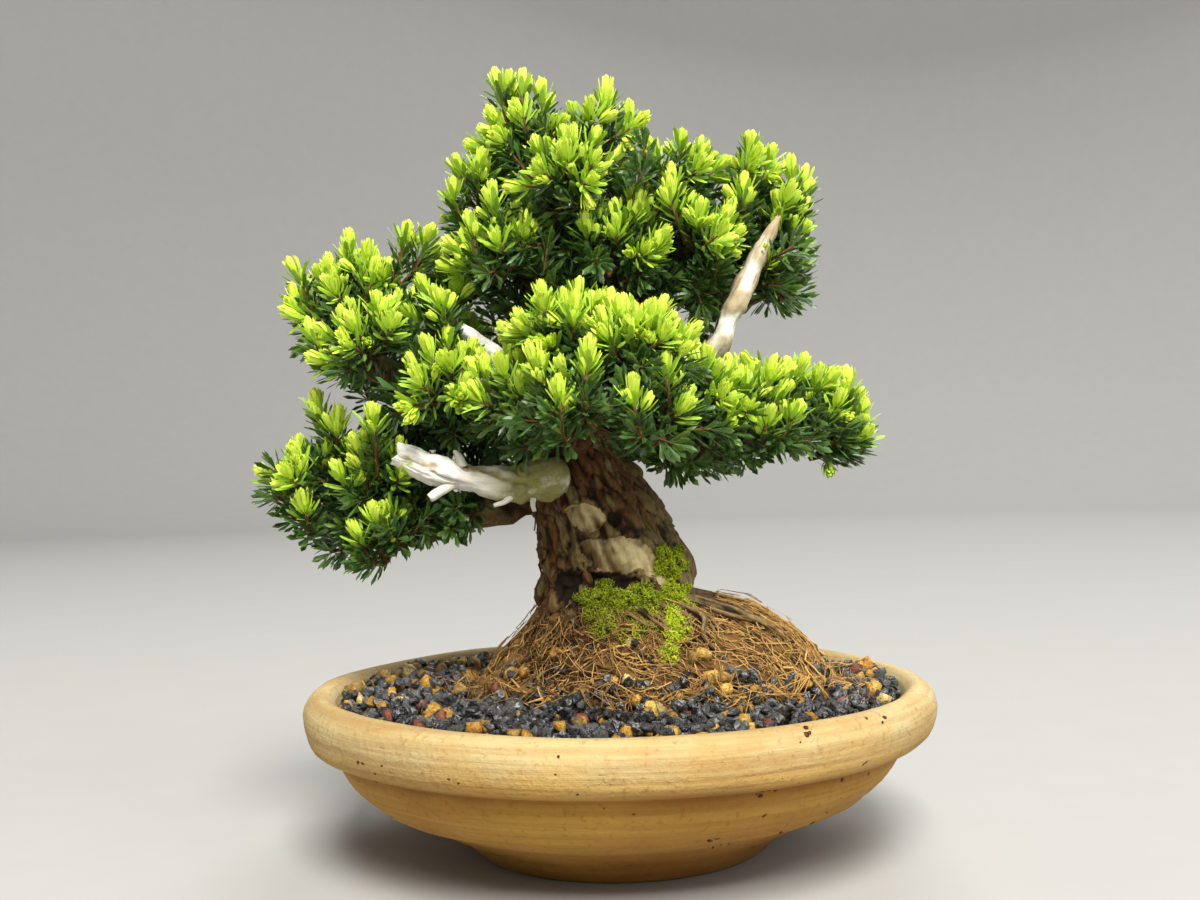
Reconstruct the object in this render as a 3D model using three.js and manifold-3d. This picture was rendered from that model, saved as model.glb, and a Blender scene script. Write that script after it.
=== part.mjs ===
// Japanese yew bonsai in a round stoneware pot.
//
// Millimetres, +Z up. The origin is the centre of the flat underside of the pot.
// The tree is seen from its front when looking along +Y, with +X to the right.

import * as THREE from 'three';
import { mergeVertices } from 'three/addons/utils/BufferGeometryUtils.js';
import Module from 'manifold-3d';

const wasm = await Module();
wasm.setup();

// Clearance between two pieces that touch, and round the wood, whose facets cut corners.
const GAP = 0.3;
const WOOD_GAP = 0.38;

// Pot: radius and height at the points that shape the outside, from the foot to the crest of the rim.
const POT_FOOT_RADIUS = 28.5;
const POT_OUTSIDE = [
  [POT_FOOT_RADIUS, 0],
  [31, 2.4],
  [33.6, 5],
  [48.7, 12],
  [54, 17.4],
  [56.2, 21.2],
  [60.4, 23.2],
  [61.8, 28.2],
  [60.4, 31.2],
  [57.4, 31.9],
];
// Pot: the same for the inside, from the inner edge of the rim to the floor.
const POT_INSIDE = [
  [56, 31],
  [54.8, 27.4],
  [51.4, 21],
  [45, 13.2],
  [34.4, 7],
  [28, 5.2],
];
const POT_SIDES = 32;
const POT_FLOOR = 5.2;

// Drain holes and the nets over them.
const DRAIN_HOLE_RADIUS = 4.5;
const DRAIN_HOLE_OFFSET = 14;
const DRAIN_HOLE_SIDES = 14;
const NET_SIZE = 13;
const NET_THICKNESS = 0.8;
const NET_CELLS = 3;
const NET_BAR = 1.1;

// Gravel: a bed of grains, raised from its top as relief.
const GRAVEL_LEVEL = 28.4;
const GRAVEL_SIDES = 42;
const GRAVEL_RING = 4;
const GRAVEL_INNERMOST = 22;
const GRAVEL_RELIEF = 1.5;
const GRAVEL_SHOULDER = 1;

// Root ball: rings from its bottom inside the pot to its top round the trunk.
// Each has a height, a centre and two radii.
const ROOT_BALL_RINGS = [
  { z: 11, x: 8, y: 1, rx: 26, ry: 21 },
  { z: 29, x: 9, y: 1, rx: 35, ry: 28 },
  { z: 32, x: 8.6, y: 0, rx: 32.2, ry: 26 },
  { z: 35.6, x: 7, y: 0, rx: 28, ry: 23.4 },
  { z: 39.4, x: 5.4, y: 0, rx: 24, ry: 20.8 },
  { z: 43, x: 4, y: 0, rx: 20.6, ry: 18.6 },
  { z: 46.6, x: 2.4, y: 0, rx: 17.4, ry: 16.6 },
  { z: 48, x: 1, y: 0, rx: 10, ry: 10 },
];
const ROOT_BALL_SIDES = 40;
const ROOT_BALL_FOOT = 29;
const ROOT_BALL_TOP = 48;
const POCKET_CLEARANCE = 0.55;
const ROOT_RIDGE = 0.045;

// Trunk and limbs: points [x, y, z, radius] along each, from where it grows out to its end.
const TRUNK_PATH = [
  [2, 0, 33, 14.2],
  [1, 0, 41, 15.2],
  [0, 0, 48, 15],
  [-2, 0, 57, 13.4],
  [-5, 0, 67, 12.2],
  [-9, 1, 77, 10.4],
  [-12, 2, 87, 8],
  [-13, 1, 99, 6.2],
  [-12, 0, 113, 4.8],
  [-10, 0, 126, 3.4],
  [-9, 0, 136, 2.2],
];
const LIMB_PATHS = {
  low_left: [[-8, 2, 71, 6], [-20, 1, 68, 4.4], [-31, -1, 63, 3.5], [-42, -3, 60.4, 2.8], [-52, -4, 63, 2]],
  mid_left: [[-12, 1, 84, 5], [-22, -3, 87, 4], [-34, -8, 86, 3.2], [-43, -10, 93, 2.6], [-49, -8, 101, 1.9]],
  front: [[-8, -3, 80, 5.4], [-7, -14, 82, 4], [-5, -23, 83, 3], [0, -29, 84, 2]],
  front_left: [[-6, -15, 82, 3.2], [-10, -21, 83, 2.3], [-12.4, -26, 84, 1.7]],
  right: [[-6, 0, 78, 5.6], [8, -5, 80, 4], [20, -9, 78, 3], [31, -9, 76, 2.4], [39, -9, 76, 1.8]],
  upper_right: [[-12, 1, 98, 4.6], [-2, 1, 107, 3.6], [10, 1, 114, 3], [20, 1, 119, 2.4], [28, 2, 122, 1.8]],
  upper_right_low: [[6, 1, 111, 3], [17, 6, 109, 2.3], [27, 9, 107.5, 1.7]],
  upper_left: [[-12, 0, 108, 3.6], [-17, 0, 115, 2.6], [-21, 0, 121, 1.9]],
  back: [[-9, 4, 82, 5.4], [-6, 14, 87, 4], [-1, 23, 88, 3], [3, 28, 87, 2]],
  back_left: [[-11, 4, 90, 4.4], [-21, 13, 92, 3.2], [-31, 18, 93, 2.2]],
  back_right: [[-6, 6, 80, 4.6], [9, 14, 81, 3.4], [22, 16, 80, 2.6], [32, 12, 79, 1.9]],
};
// Dead branches stripped of bark.
const JIN_PATHS = {
  long_left: [
    [-8, -6, 72, 4.4], [-14, -12, 72, 4.2], [-21, -13.6, 71.8, 3.3], [-28, -15, 73.4, 3.1],
    [-35, -16.2, 75.8, 2.6], [-41, -17, 78.4, 0.8],
  ],
  fork_left: [[-27, -14.4, 73, 2], [-31, -16, 71.2, 1.3], [-34.4, -17, 69, 0.8]],
  tall_right: [
    [-4, -1, 84, 4.2], [8, -6, 91, 2.9], [20, -8.4, 98, 2.1], [27.4, -9, 108.6, 1.8], [33.8, -9, 122.2, 0.7],
  ],
  stub_left: [[-13, 1, 90, 3.4], [-21, -4, 95.6, 2.1], [-29, -8, 102, 1]],
};
// Woody roots that run from the foot of the trunk over the root ball: the bearing of each in degrees,
// how far it turns on its way down, the height of its end, and its radius at the trunk.
const SURFACE_ROOTS = [
  { bearing: -34, turn: 8, end: 32.5, radius: 2.1 },
  { bearing: -56, turn: -6, end: 34, radius: 1.8 },
  { bearing: -80, turn: 5, end: 35, radius: 1.5 },
  { bearing: 150, turn: -14, end: 34, radius: 1.8 },
  { bearing: 72, turn: 9, end: 34, radius: 1.9 },
  { bearing: 24, turn: -8, end: 33, radius: 2.1 },
];
// They start this far from the axis of the trunk's foot, bend down at its side, and lie proud of the ball.
const SURFACE_ROOT_START = 5;
const SURFACE_ROOT_BEND = 14.5;
const SURFACE_ROOT_LIFT = 1.2;
const BARK_RELIEF = 0.06;
const TRUNK_SIDES = 12;
const TRUNK_STEPS = 15;
const LIMB_SIDES = 5;

// Sprays of foliage: the centre of each, by the part of the crown that it belongs to.
const SPRAYS = {
  apex: [[-16, -3, 141], [-2, -3, 142], [8, 6, 138], [-10, 10, 137], [-7, -13, 130]],
  upper_left: [[-25, -1, 130], [-21, -10, 115], [-23, 11, 121]],
  upper_right: [
    [15, 1, 132], [27, 2, 131], [34, 2, 121], [33, 4, 108],
    [18, -9, 117], [3, -9, 116], [17, 14, 124], [30, 16, 114],
  ],
  mid_left: [
    [-52, -8, 106], [-43, -3, 114], [-33, -9, 102], [-46, -15, 97],
    [-44, 8, 104], [-30, 8, 111], [-32, -19, 89],
  ],
  low_left: [[-53, -4, 81], [-61, -6, 71], [-45, -9, 71], [-53, 0, 61], [-50, 10, 72], [-43, -9, 60]],
  front: [[-7, -26, 97], [5, -31, 94], [-18, -25, 86], [-6, -35, 83], [7, -32, 82]],
  right: [[17, -23, 85], [27, -18, 83], [36, -9, 86], [43, -10, 78], [33, -15, 74], [15, -17, 73]],
  back: [
    [-5, 28, 100], [11, 32, 93], [-17, 31, 91], [25, 23, 88], [-32, 22, 98],
    [1, 17, 112], [38, 12, 84], [-2, 37, 84],
  ],
};
// Shoots in a spray, with fewer in those whose centre lies behind this depth.
const SHOOTS_PER_SPRAY = 4;
const SHOOTS_BEHIND = 3;
const BEHIND = 3;
const SHOOT_LENGTH = 8;
const SHOOT_RADIUS = 0.66;
const SHOOT_BANDS = 3;
const SHOOT_SPREAD = THREE.MathUtils.degToRad(84);
const TWIG_RADIUS = 1;
const TWIG_ROOM = 0.4;
const TWIG_DROP = 9;
const LOWEST_TWIG = 55;
// The upright line that sprays grow away from, and how much each shoot turns up.
const CROWN_HEART = [-8, 0];
const CROWN_TOP = 124;
const SPRAY_RISE = 0.55;
const SHOOT_RISE = 0.25;
const GOLDEN_ANGLE = Math.PI * (3 - Math.sqrt(5));
const SHOOT_TIP = 1.4;
// Needles of a shoot, band by band from its foot to its tip: the angle to it in degrees, and the length.
const NEEDLES = [
  { angle: 64, length: 5.6 },
  { angle: 48, length: 5.8 },
  { angle: 32, length: 5.4 },
  { angle: 14, length: 4.6 },
];
const NEEDLE_WIDTH = 1.2;
const NEEDLE_ROOM = 0.3;

const UP = new THREE.Vector3(0, 0, 1);

/** A repeatable random number generator: the same seed always gives the same draws from 0 to 1. */
function seededRandom(seed) {
  let state = seed >>> 0;
  return () => {
    state = (state + 0x6d2b79f5) >>> 0;
    let mixed = Math.imul(state ^ (state >>> 15), state | 1);
    mixed ^= mixed + Math.imul(mixed ^ (mixed >>> 7), mixed | 61);
    return ((mixed ^ (mixed >>> 14)) >>> 0) / 4294967296;
  };
}

/** The geometry with its shared corners merged and its collapsed faces left out. */
function weld(geometry) {
  const bare = geometry.clone();
  bare.deleteAttribute('normal');
  bare.deleteAttribute('uv');
  const merged = mergeVertices(bare, 1e-4);
  const index = merged.index.array;
  const faces = [];
  for (let i = 0; i < index.length; i += 3) {
    const [a, b, c] = [index[i], index[i + 1], index[i + 2]];
    if (a !== b && b !== c && c !== a) faces.push(a, b, c);
  }
  merged.setIndex(faces);
  return merged;
}

/** A solid for joins and cuts, from a closed geometry. */
function solidFrom(geometry) {
  const welded = weld(geometry);
  return new wasm.Manifold(new wasm.Mesh({
    numProp: 3,
    vertProperties: new Float32Array(welded.attributes.position.array),
    triVerts: new Uint32Array(welded.index.array),
  }));
}

/** A geometry from a solid. */
function geometryFrom(solid) {
  const mesh = solid.getMesh();
  const geometry = new THREE.BufferGeometry();
  geometry.setAttribute('position', new THREE.BufferAttribute(new Float32Array(mesh.vertProperties), 3));
  geometry.setIndex(Array.from(mesh.triVerts));
  geometry.computeVertexNormals();
  return geometry;
}

/** The largest body of a solid, without the loose scraps that a cut leaves. */
function largestBody(solid) {
  return solid.decompose().reduce((best, body) => (body.volume() > best.volume() ? body : best));
}

/** A named mesh of one colour. */
function piece(name, geometry, color, roughness) {
  const mesh = new THREE.Mesh(geometry, new THREE.MeshStandardMaterial({ color, roughness, metalness: 0 }));
  mesh.name = name;
  return mesh;
}

/** A lathe turned round the Z axis from [radius, height] points. */
function turned(points, sides) {
  const profile = points.map(([radius, height]) => new THREE.Vector2(radius, height));
  return new THREE.LatheGeometry(profile, sides).rotateX(Math.PI / 2);
}

/** Points of a path and its radius, as a smooth curve. */
function limbCurve(path) {
  const places = path.map(([x, y, z]) => new THREE.Vector3(x, y, z));
  const curve = new THREE.CatmullRomCurve3(places, false, 'centripetal');
  const radii = path.map((point) => point[3]);
  const last = radii.length - 1;
  return {
    last,
    point: (t) => curve.getPoint(t),
    radius: (t) => {
      const k = Math.min(Math.floor(t * last), last - 1);
      return THREE.MathUtils.lerp(radii[k], radii[k + 1], t * last - k);
    },
  };
}

/** Evenly spaced stops along a limb. */
function evenStops(steps) {
  return Array.from({ length: steps + 1 }, (_, ring) => ring / steps);
}

/** A point and two cross directions at each stop of a limb, carried along it without twist. */
function limbFrames(limb, stops) {
  let side = null;
  return stops.map((t) => {
    const tangent = limb.point(Math.min(1, t + 0.01)).sub(limb.point(Math.max(0, t - 0.01))).normalize();
    if (!side) side = Math.abs(tangent.x) > 0.9 ? new THREE.Vector3(0, 1, 0) : new THREE.Vector3(1, 0, 0);
    side = side.clone().addScaledVector(tangent, -side.dot(tangent)).normalize();
    return { point: limb.point(t), side, across: tangent.clone().cross(side) };
  });
}

/**
 * A closed rod along a limb: a cylinder bent along its path, with relief raised from its side.
 * The clearance makes it thicker, and the twist turns each ring against the one before.
 */
function limbGeometry(limb, sides, stops, relief, clearance = 0, twist = 0) {
  const steps = stops.length - 1;
  const geometry = weld(new THREE.CylinderGeometry(1, 1, 1, sides, steps));
  const position = geometry.attributes.position;
  const frames = limbFrames(limb, stops);
  for (let i = 0; i < position.count; i += 1) {
    const ring = Math.round((position.getY(i) + 0.5) * steps);
    const t = stops[ring];
    const share = Math.min(1, Math.hypot(position.getX(i), position.getZ(i)));
    const angle = Math.atan2(position.getX(i), position.getZ(i)) + twist * ring;
    const radius = share * (limb.radius(t) * (1 + relief(angle, t)) + clearance);
    const { point, side, across } = frames[ring];
    const place = point.clone()
      .addScaledVector(across, radius * Math.sin(angle))
      .addScaledVector(side, radius * Math.cos(angle));
    position.setXYZ(i, place.x, place.y, place.z);
  }
  return geometry;
}

/** The inside radius of the pot at a height. */
function potInsideRadius(height) {
  const above = POT_INSIDE.findLastIndex(([, level]) => level >= height);
  const [[r1, z1], [r0, z0]] = [POT_INSIDE[above], POT_INSIDE[Math.min(above + 1, POT_INSIDE.length - 1)]];
  return z1 === z0 ? r1 : THREE.MathUtils.mapLinear(height, z0, z1, r0, r1);
}

/** The pot: a turned bowl with two drain holes through its floor. */
function potGeometry() {
  const bowl = solidFrom(turned([[0, 0], ...POT_OUTSIDE, ...POT_INSIDE, [0, POT_FLOOR]], POT_SIDES));
  const hole = (x) => solidFrom(
    new THREE.CylinderGeometry(DRAIN_HOLE_RADIUS, DRAIN_HOLE_RADIUS, 4 * POT_FLOOR, DRAIN_HOLE_SIDES)
      .rotateX(Math.PI / 2).translate(x, 0, 0),
  );
  return geometryFrom(bowl.subtract(hole(-DRAIN_HOLE_OFFSET)).subtract(hole(DRAIN_HOLE_OFFSET)));
}

/** A square plastic net, lying flat, centred on its own origin. */
function netGeometry() {
  const box = (width, depth, height, x, y) => solidFrom(
    new THREE.BoxGeometry(width, depth, height).translate(x, y, NET_THICKNESS / 2));
  let net = box(NET_SIZE, NET_SIZE, NET_THICKNESS, 0, 0);
  const pitch = (NET_SIZE - NET_BAR) / NET_CELLS;
  for (let row = 0; row < NET_CELLS; row += 1) {
    for (let column = 0; column < NET_CELLS; column += 1) {
      const [x, y] = [column, row].map((k) => (k - (NET_CELLS - 1) / 2) * pitch);
      net = net.subtract(box(pitch - NET_BAR, pitch - NET_BAR, 3 * NET_THICKNESS, x, y));
    }
  }
  return geometryFrom(net);
}

/** The room that a drain net takes up under the gravel. */
function netPocket(x) {
  const size = NET_SIZE + 2 * GAP;
  const height = 2 * (NET_THICKNESS + 2 * GAP);
  return solidFrom(new THREE.BoxGeometry(size, size, height).translate(x, 0, POT_FLOOR));
}

/** The gravel: it fills the pot round the root ball, and its top is raised into grains. */
function gravelGeometry() {
  const side = POT_INSIDE.map(([, height]) => height)
    .filter((height) => height < GRAVEL_LEVEL - 3 * GRAVEL_SHOULDER)
    .reverse()
    .map((height) => [potInsideRadius(height) - GAP, height + GAP]);
  const edge = potInsideRadius(GRAVEL_LEVEL - GRAVEL_SHOULDER) - 1.5 * GAP;
  const outermost = edge - 0.8 * GRAVEL_SHOULDER;
  const rings = [];
  for (let radius = outermost; radius > GRAVEL_INNERMOST; radius -= GRAVEL_RING) {
    rings.push([radius, GRAVEL_LEVEL]);
  }
  const shoulder = [edge, GRAVEL_LEVEL - GRAVEL_SHOULDER];
  const profile = [[0, POT_FLOOR + GAP], ...side, shoulder, ...rings, [0, GRAVEL_LEVEL]];
  const bed = weld(turned(profile, GRAVEL_SIDES));
  const position = bed.attributes.position;
  const random = seededRandom(7);
  for (let i = 0; i < position.count; i += 1) {
    const [x, y] = [position.getX(i), position.getY(i)];
    const draws = [random(), random(), random()];
    if (position.getZ(i) > GRAVEL_LEVEL - 0.01) {
      const ring = Math.round((outermost - Math.hypot(x, y)) / GRAVEL_RING);
      const sector = Math.round((Math.atan2(y, x) / (2 * Math.PI)) * GRAVEL_SIDES + GRAVEL_SIDES);
      const raised = (ring + sector) % 2 === 0 ? 0.55 + 0.6 * draws[0] : -0.3 * draws[0];
      const scale = 1 - (0.012 + 0.02 * draws[1]) * (ring === 0 ? 0.4 : 1);
      const turn = (draws[2] - 0.5) * 0.05;
      const height = GRAVEL_LEVEL + GRAVEL_RELIEF * raised;
      position.setXYZ(i, (x - turn * y) * scale, (y + turn * x) * scale, height);
    }
  }
  return geometryFrom(solidFrom(bed)
    .subtract(solidFrom(rootBallPocket()))
    .subtract(netPocket(-DRAIN_HOLE_OFFSET))
    .subtract(netPocket(DRAIN_HOLE_OFFSET)));
}

/** The root ball: a body through its rings, raised into root-like ridges above its foot. */
function rootBallGeometry() {
  const steps = ROOT_BALL_RINGS.length - 1;
  const body = weld(new THREE.CylinderGeometry(1, 1, 1, ROOT_BALL_SIDES, steps).rotateX(Math.PI / 2));
  const position = body.attributes.position;
  const random = seededRandom(21);
  const drift = Array.from({ length: ROOT_BALL_SIDES }, () => random() - 0.5);
  for (let i = 0; i < position.count; i += 1) {
    const level = Math.round((position.getZ(i) + 0.5) * steps);
    const ring = ROOT_BALL_RINGS[level];
    const share = Math.min(1, Math.hypot(position.getX(i), position.getY(i)));
    const turn = Math.atan2(position.getY(i), position.getX(i));
    const side = Math.round((turn / (2 * Math.PI)) * ROOT_BALL_SIDES + ROOT_BALL_SIDES) % ROOT_BALL_SIDES;
    const bare = ring.z > ROOT_BALL_FOOT ? 1 : 0;
    const angle = turn + bare * 0.07 * drift[side] * Math.sin(level * 1.9 + side);
    const uneven = drift[(side * 7 + level * 3) % ROOT_BALL_SIDES];
    const ridge = bare * ROOT_RIDGE * ((side % 2 ? 1 : -0.6) + uneven);
    position.setXYZ(
      i,
      ring.x + share * ring.rx * (1 + ridge) * Math.cos(angle),
      ring.y + share * ring.ry * (1 + ridge) * Math.sin(angle),
      ring.z + bare * 0.5 * drift[(side * 5 + level) % ROOT_BALL_SIDES],
    );
  }
  return body;
}

/** The hollow of the gravel round the root ball, with plain sides. */
function rootBallPocket() {
  const rings = ROOT_BALL_RINGS.filter((ring) => ring.z <= ROOT_BALL_FOOT);
  const foot = rings.at(-1);
  rings.push({ ...foot, z: foot.z + 4 });
  const steps = rings.length - 1;
  const pocket = weld(new THREE.CylinderGeometry(1, 1, 1, ROOT_BALL_SIDES / 2, steps).rotateX(Math.PI / 2));
  const position = pocket.attributes.position;
  for (let i = 0; i < position.count; i += 1) {
    const level = Math.round((position.getZ(i) + 0.5) * steps);
    const ring = rings[level];
    position.setXYZ(
      i,
      ring.x + position.getX(i) * (ring.rx + POCKET_CLEARANCE),
      ring.y + position.getY(i) * (ring.ry + POCKET_CLEARANCE),
      ring.z - (level === 0 ? GAP : 0),
    );
  }
  return pocket;
}

/** Relief of the trunk's bark: furrows along it of uneven depth, and buttresses at its foot. */
function trunkRelief(angle, t) {
  const furrows = Math.cos((TRUNK_SIDES / 2) * angle) * (0.7 + 0.5 * Math.sin(3 * angle + 40 * t));
  const foot = Math.max(0, 1 - t * 5);
  return BARK_RELIEF * furrows + 0.06 * foot * Math.sin(4 * angle + 1);
}

/** Relief of a limb's bark. */
function limbRelief(angle, t) {
  return BARK_RELIEF * Math.sin(3 * angle + 14 * t);
}

/** The trunk's own rod, thicker by the given clearance. */
function trunkGeometry(clearance) {
  return limbGeometry(limbCurve(TRUNK_PATH), TRUNK_SIDES, evenStops(TRUNK_STEPS), trunkRelief, clearance);
}

/** Every rod of the tree's wood, thicker by the given clearance. */
function woodRods(clearance) {
  const rods = [solidFrom(trunkGeometry(clearance))];
  for (const path of [...Object.values(LIMB_PATHS), ...Object.values(JIN_PATHS)]) {
    const limb = limbCurve(path);
    rods.push(solidFrom(limbGeometry(limb, LIMB_SIDES, evenStops(limb.last + 2), limbRelief, clearance)));
  }
  return rods;
}

/** The centre and radii of the root ball at a height. */
function rootBallRing(z) {
  const above = Math.max(1, ROOT_BALL_RINGS.findIndex((ring) => ring.z > z));
  const [low, high] = [ROOT_BALL_RINGS[above - 1], ROOT_BALL_RINGS[above]];
  const between = (key) => THREE.MathUtils.mapLinear(z, low.z, high.z, low[key], high[key]);
  return { x: between('x'), y: between('y'), rx: between('rx'), ry: between('ry') };
}

/** The woody surface roots. Each leaves the trunk and lies on the root ball's ridges. */
function surfaceRootRods() {
  return SURFACE_ROOTS.map(({ bearing, turn, end, radius }) => {
    const start = THREE.MathUtils.degToRad(bearing);
    const beside = (out, height, thick) => [out * Math.cos(start), out * Math.sin(start), height, thick];
    const path = [
      beside(SURFACE_ROOT_START, ROOT_BALL_TOP + 4, radius * 1.3),
      beside(SURFACE_ROOT_BEND, ROOT_BALL_TOP + radius + 1, radius * 1.1),
    ];
    for (let k = 0; k <= 3; k += 1) {
      const z = THREE.MathUtils.lerp(ROOT_BALL_TOP - 3.5, end, k / 3);
      const angle = THREE.MathUtils.degToRad(bearing + turn * Math.sin(k));
      const thick = radius * (1 - 0.2 * k);
      const proud = thick + SURFACE_ROOT_LIFT;
      const ring = rootBallRing(z);
      path.push([
        ring.x + (ring.rx + 0.75 * proud) * Math.cos(angle),
        ring.y + (ring.ry + 0.75 * proud) * Math.sin(angle),
        z + 0.9 * proud,
        thick,
      ]);
    }
    const limb = limbCurve(path);
    return solidFrom(limbGeometry(limb, LIMB_SIDES, evenStops(limb.last + 1), limbRelief));
  });
}

// Rods whose ends are further apart than this can't touch. Nearer ones are measured at this many steps.
const CROWD_REACH = 2.6;
const CROWD_STEPS = 6;

/** Rods that fill room: each is a straight stretch that tapers from one radius to another. */
class Crowd {
  constructor() {
    this.rods = [];
  }

  /** How far a rod is clear of the rods whose owners don't start with a name. Below zero they touch. */
  clearance(rod, name) {
    let least = Infinity;
    const middle = rod.from.clone().add(rod.to).multiplyScalar(0.5);
    const reach = rod.from.distanceTo(rod.to) / 2;
    for (const other of this.rods) {
      if (other.owner.startsWith(name)) continue;
      if (other.middle.distanceTo(middle) - other.reach - reach > CROWD_REACH) continue;
      for (let i = 0; i <= CROWD_STEPS; i += 1) {
        const a = rod.from.clone().lerp(rod.to, i / CROWD_STEPS);
        const along = THREE.MathUtils.clamp(
          a.clone().sub(other.from).dot(other.axis) / other.axis.lengthSq(), 0, 1);
        const b = other.from.clone().addScaledVector(other.axis, along);
        const room = a.distanceTo(b) - THREE.MathUtils.lerp(rod.start, rod.end, i / CROWD_STEPS)
          - THREE.MathUtils.lerp(other.start, other.end, along);
        least = Math.min(least, room);
      }
    }
    return least;
  }

  /** Adds a rod. */
  add(rod, owner) {
    const axis = rod.to.clone().sub(rod.from);
    const middle = rod.from.clone().add(rod.to).multiplyScalar(0.5);
    this.rods.push({ ...rod, owner, axis, middle, reach: axis.length() / 2 });
  }
}

/** The place on the living wood where a twig to a target grows out: the nearest clear of the crowd. */
function twigFoot(target, crowd) {
  const places = [];
  for (const path of [TRUNK_PATH, ...Object.values(LIMB_PATHS)]) {
    const limb = limbCurve(path);
    for (let t = 0.16; t < 1; t += 0.016) {
      const point = limb.point(t);
      const within = point.z > LOWEST_TWIG && point.z < target.z + TWIG_DROP;
      if (within) places.push({ point, away: point.distanceTo(target) - limb.radius(t) });
    }
  }
  places.sort((one, other) => one.away - other.away);
  const free = places.find(({ point }) => crowd.clearance(twigRod(point, target), 'none') > TWIG_ROOM);
  return (free ?? places[0]).point;
}

/** The room that a twig takes up. */
function twigRod(from, to) {
  return { from, to, start: TWIG_RADIUS, end: TWIG_RADIUS };
}

/** The room that a shoot takes up, with its tip and its shortest needles. */
function shootRod(from, to, thickness) {
  const tip = to.clone().addScaledVector(to.clone().sub(from).normalize(), SHOOT_TIP);
  return { from, to: tip, start: 0.8 * thickness, end: thickness };
}

/** Evenly spread directions inside a cone round a bias direction. */
function spreadDirections(count, bias, start) {
  const turn = new THREE.Quaternion().setFromUnitVectors(UP, bias);
  return Array.from({ length: count }, (_, k) => {
    const z = 1 - (1 - Math.cos(SHOOT_SPREAD)) * ((k + 0.35) / (count - 0.3));
    const angle = start + k * GOLDEN_ANGLE;
    const flat = Math.sqrt(1 - z * z);
    return new THREE.Vector3(flat * Math.cos(angle), flat * Math.sin(angle), z).applyQuaternion(turn);
  });
}

/** Plans a spray's twig: its foot on the wood, and the bias of its shoots, out of the crown and up. */
function planTwig(name, centre, crowd) {
  const middle = new THREE.Vector3(...centre);
  const foot = twigFoot(middle, crowd);
  crowd.add(twigRod(foot, middle), `${name} twig`);
  const heart = new THREE.Vector3(...CROWN_HEART, Math.min(middle.z - 10, CROWN_TOP));
  const bias = middle.clone().sub(heart).normalize().addScaledVector(UP, SPRAY_RISE).normalize();
  const seed = [...name].reduce((sum, letter) => Math.imul(sum, 31) + letter.charCodeAt(0), 7);
  const random = seededRandom(seed);
  const count = middle.y > BEHIND ? SHOOTS_BEHIND : SHOOTS_PER_SPRAY;
  return { name, foot, middle, bias, random, count, start: random() * 2 * Math.PI, shoots: [] };
}

// Shoots start this share of the twig apart, and try this many turns about the spray to find room.
const SHOOT_STEP = 0.09;
const SHOOT_TRIES = 9;
const TRY_TURN = 0.7;

/** Adds the next shoot to a planned spray, turned to where it has room. The first one ends the twig. */
function planShoot(plan, k, crowd) {
  const length = SHOOT_LENGTH * (0.9 + 0.25 * plan.random()) + 0.6 * k;
  const from = plan.middle.clone().lerp(plan.foot, k * SHOOT_STEP);
  for (let attempt = 0; attempt < SHOOT_TRIES; attempt += 1) {
    const direction = spreadDirections(plan.count, plan.bias, plan.start + attempt * TRY_TURN)[k];
    const to = from.clone().addScaledVector(direction.addScaledVector(UP, SHOOT_RISE).normalize(), length);
    if (crowd.clearance(shootRod(from, to, 1.5), `${plan.name} `) > NEEDLE_ROOM) {
      crowd.add(shootRod(from, to, 1), `${plan.name} shoot ${plan.shoots.length}`);
      plan.shoots.push({ from, to });
      return;
    }
  }
}

/** Plans every spray: first all twigs, then their shoots in turn, so that no spray crowds out another. */
function planSprays(crowd) {
  const plans = Object.entries(SPRAYS).flatMap(([region, centres]) => (
    centres.map((centre, k) => planTwig(`${region}_spray_${k + 1}`, centre, crowd))));
  for (let k = 0; k < SHOOTS_PER_SPRAY; k += 1) {
    plans.filter((plan) => k < plan.count).forEach((plan) => planShoot(plan, k, crowd));
  }
  return plans;
}

/** The core of a shoot: a slim rod of three-sided bands, each turned half a side against the last. */
function shootCore(points) {
  const limb = limbCurve(points);
  const bare = limb.last - 1;
  const stops = evenStops(SHOOT_BANDS).map((t) => (t + bare) / limb.last);
  return limbGeometry(limb, 3, bare ? [0, ...stops] : stops, () => 0, 0, -Math.PI / 3);
}

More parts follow.
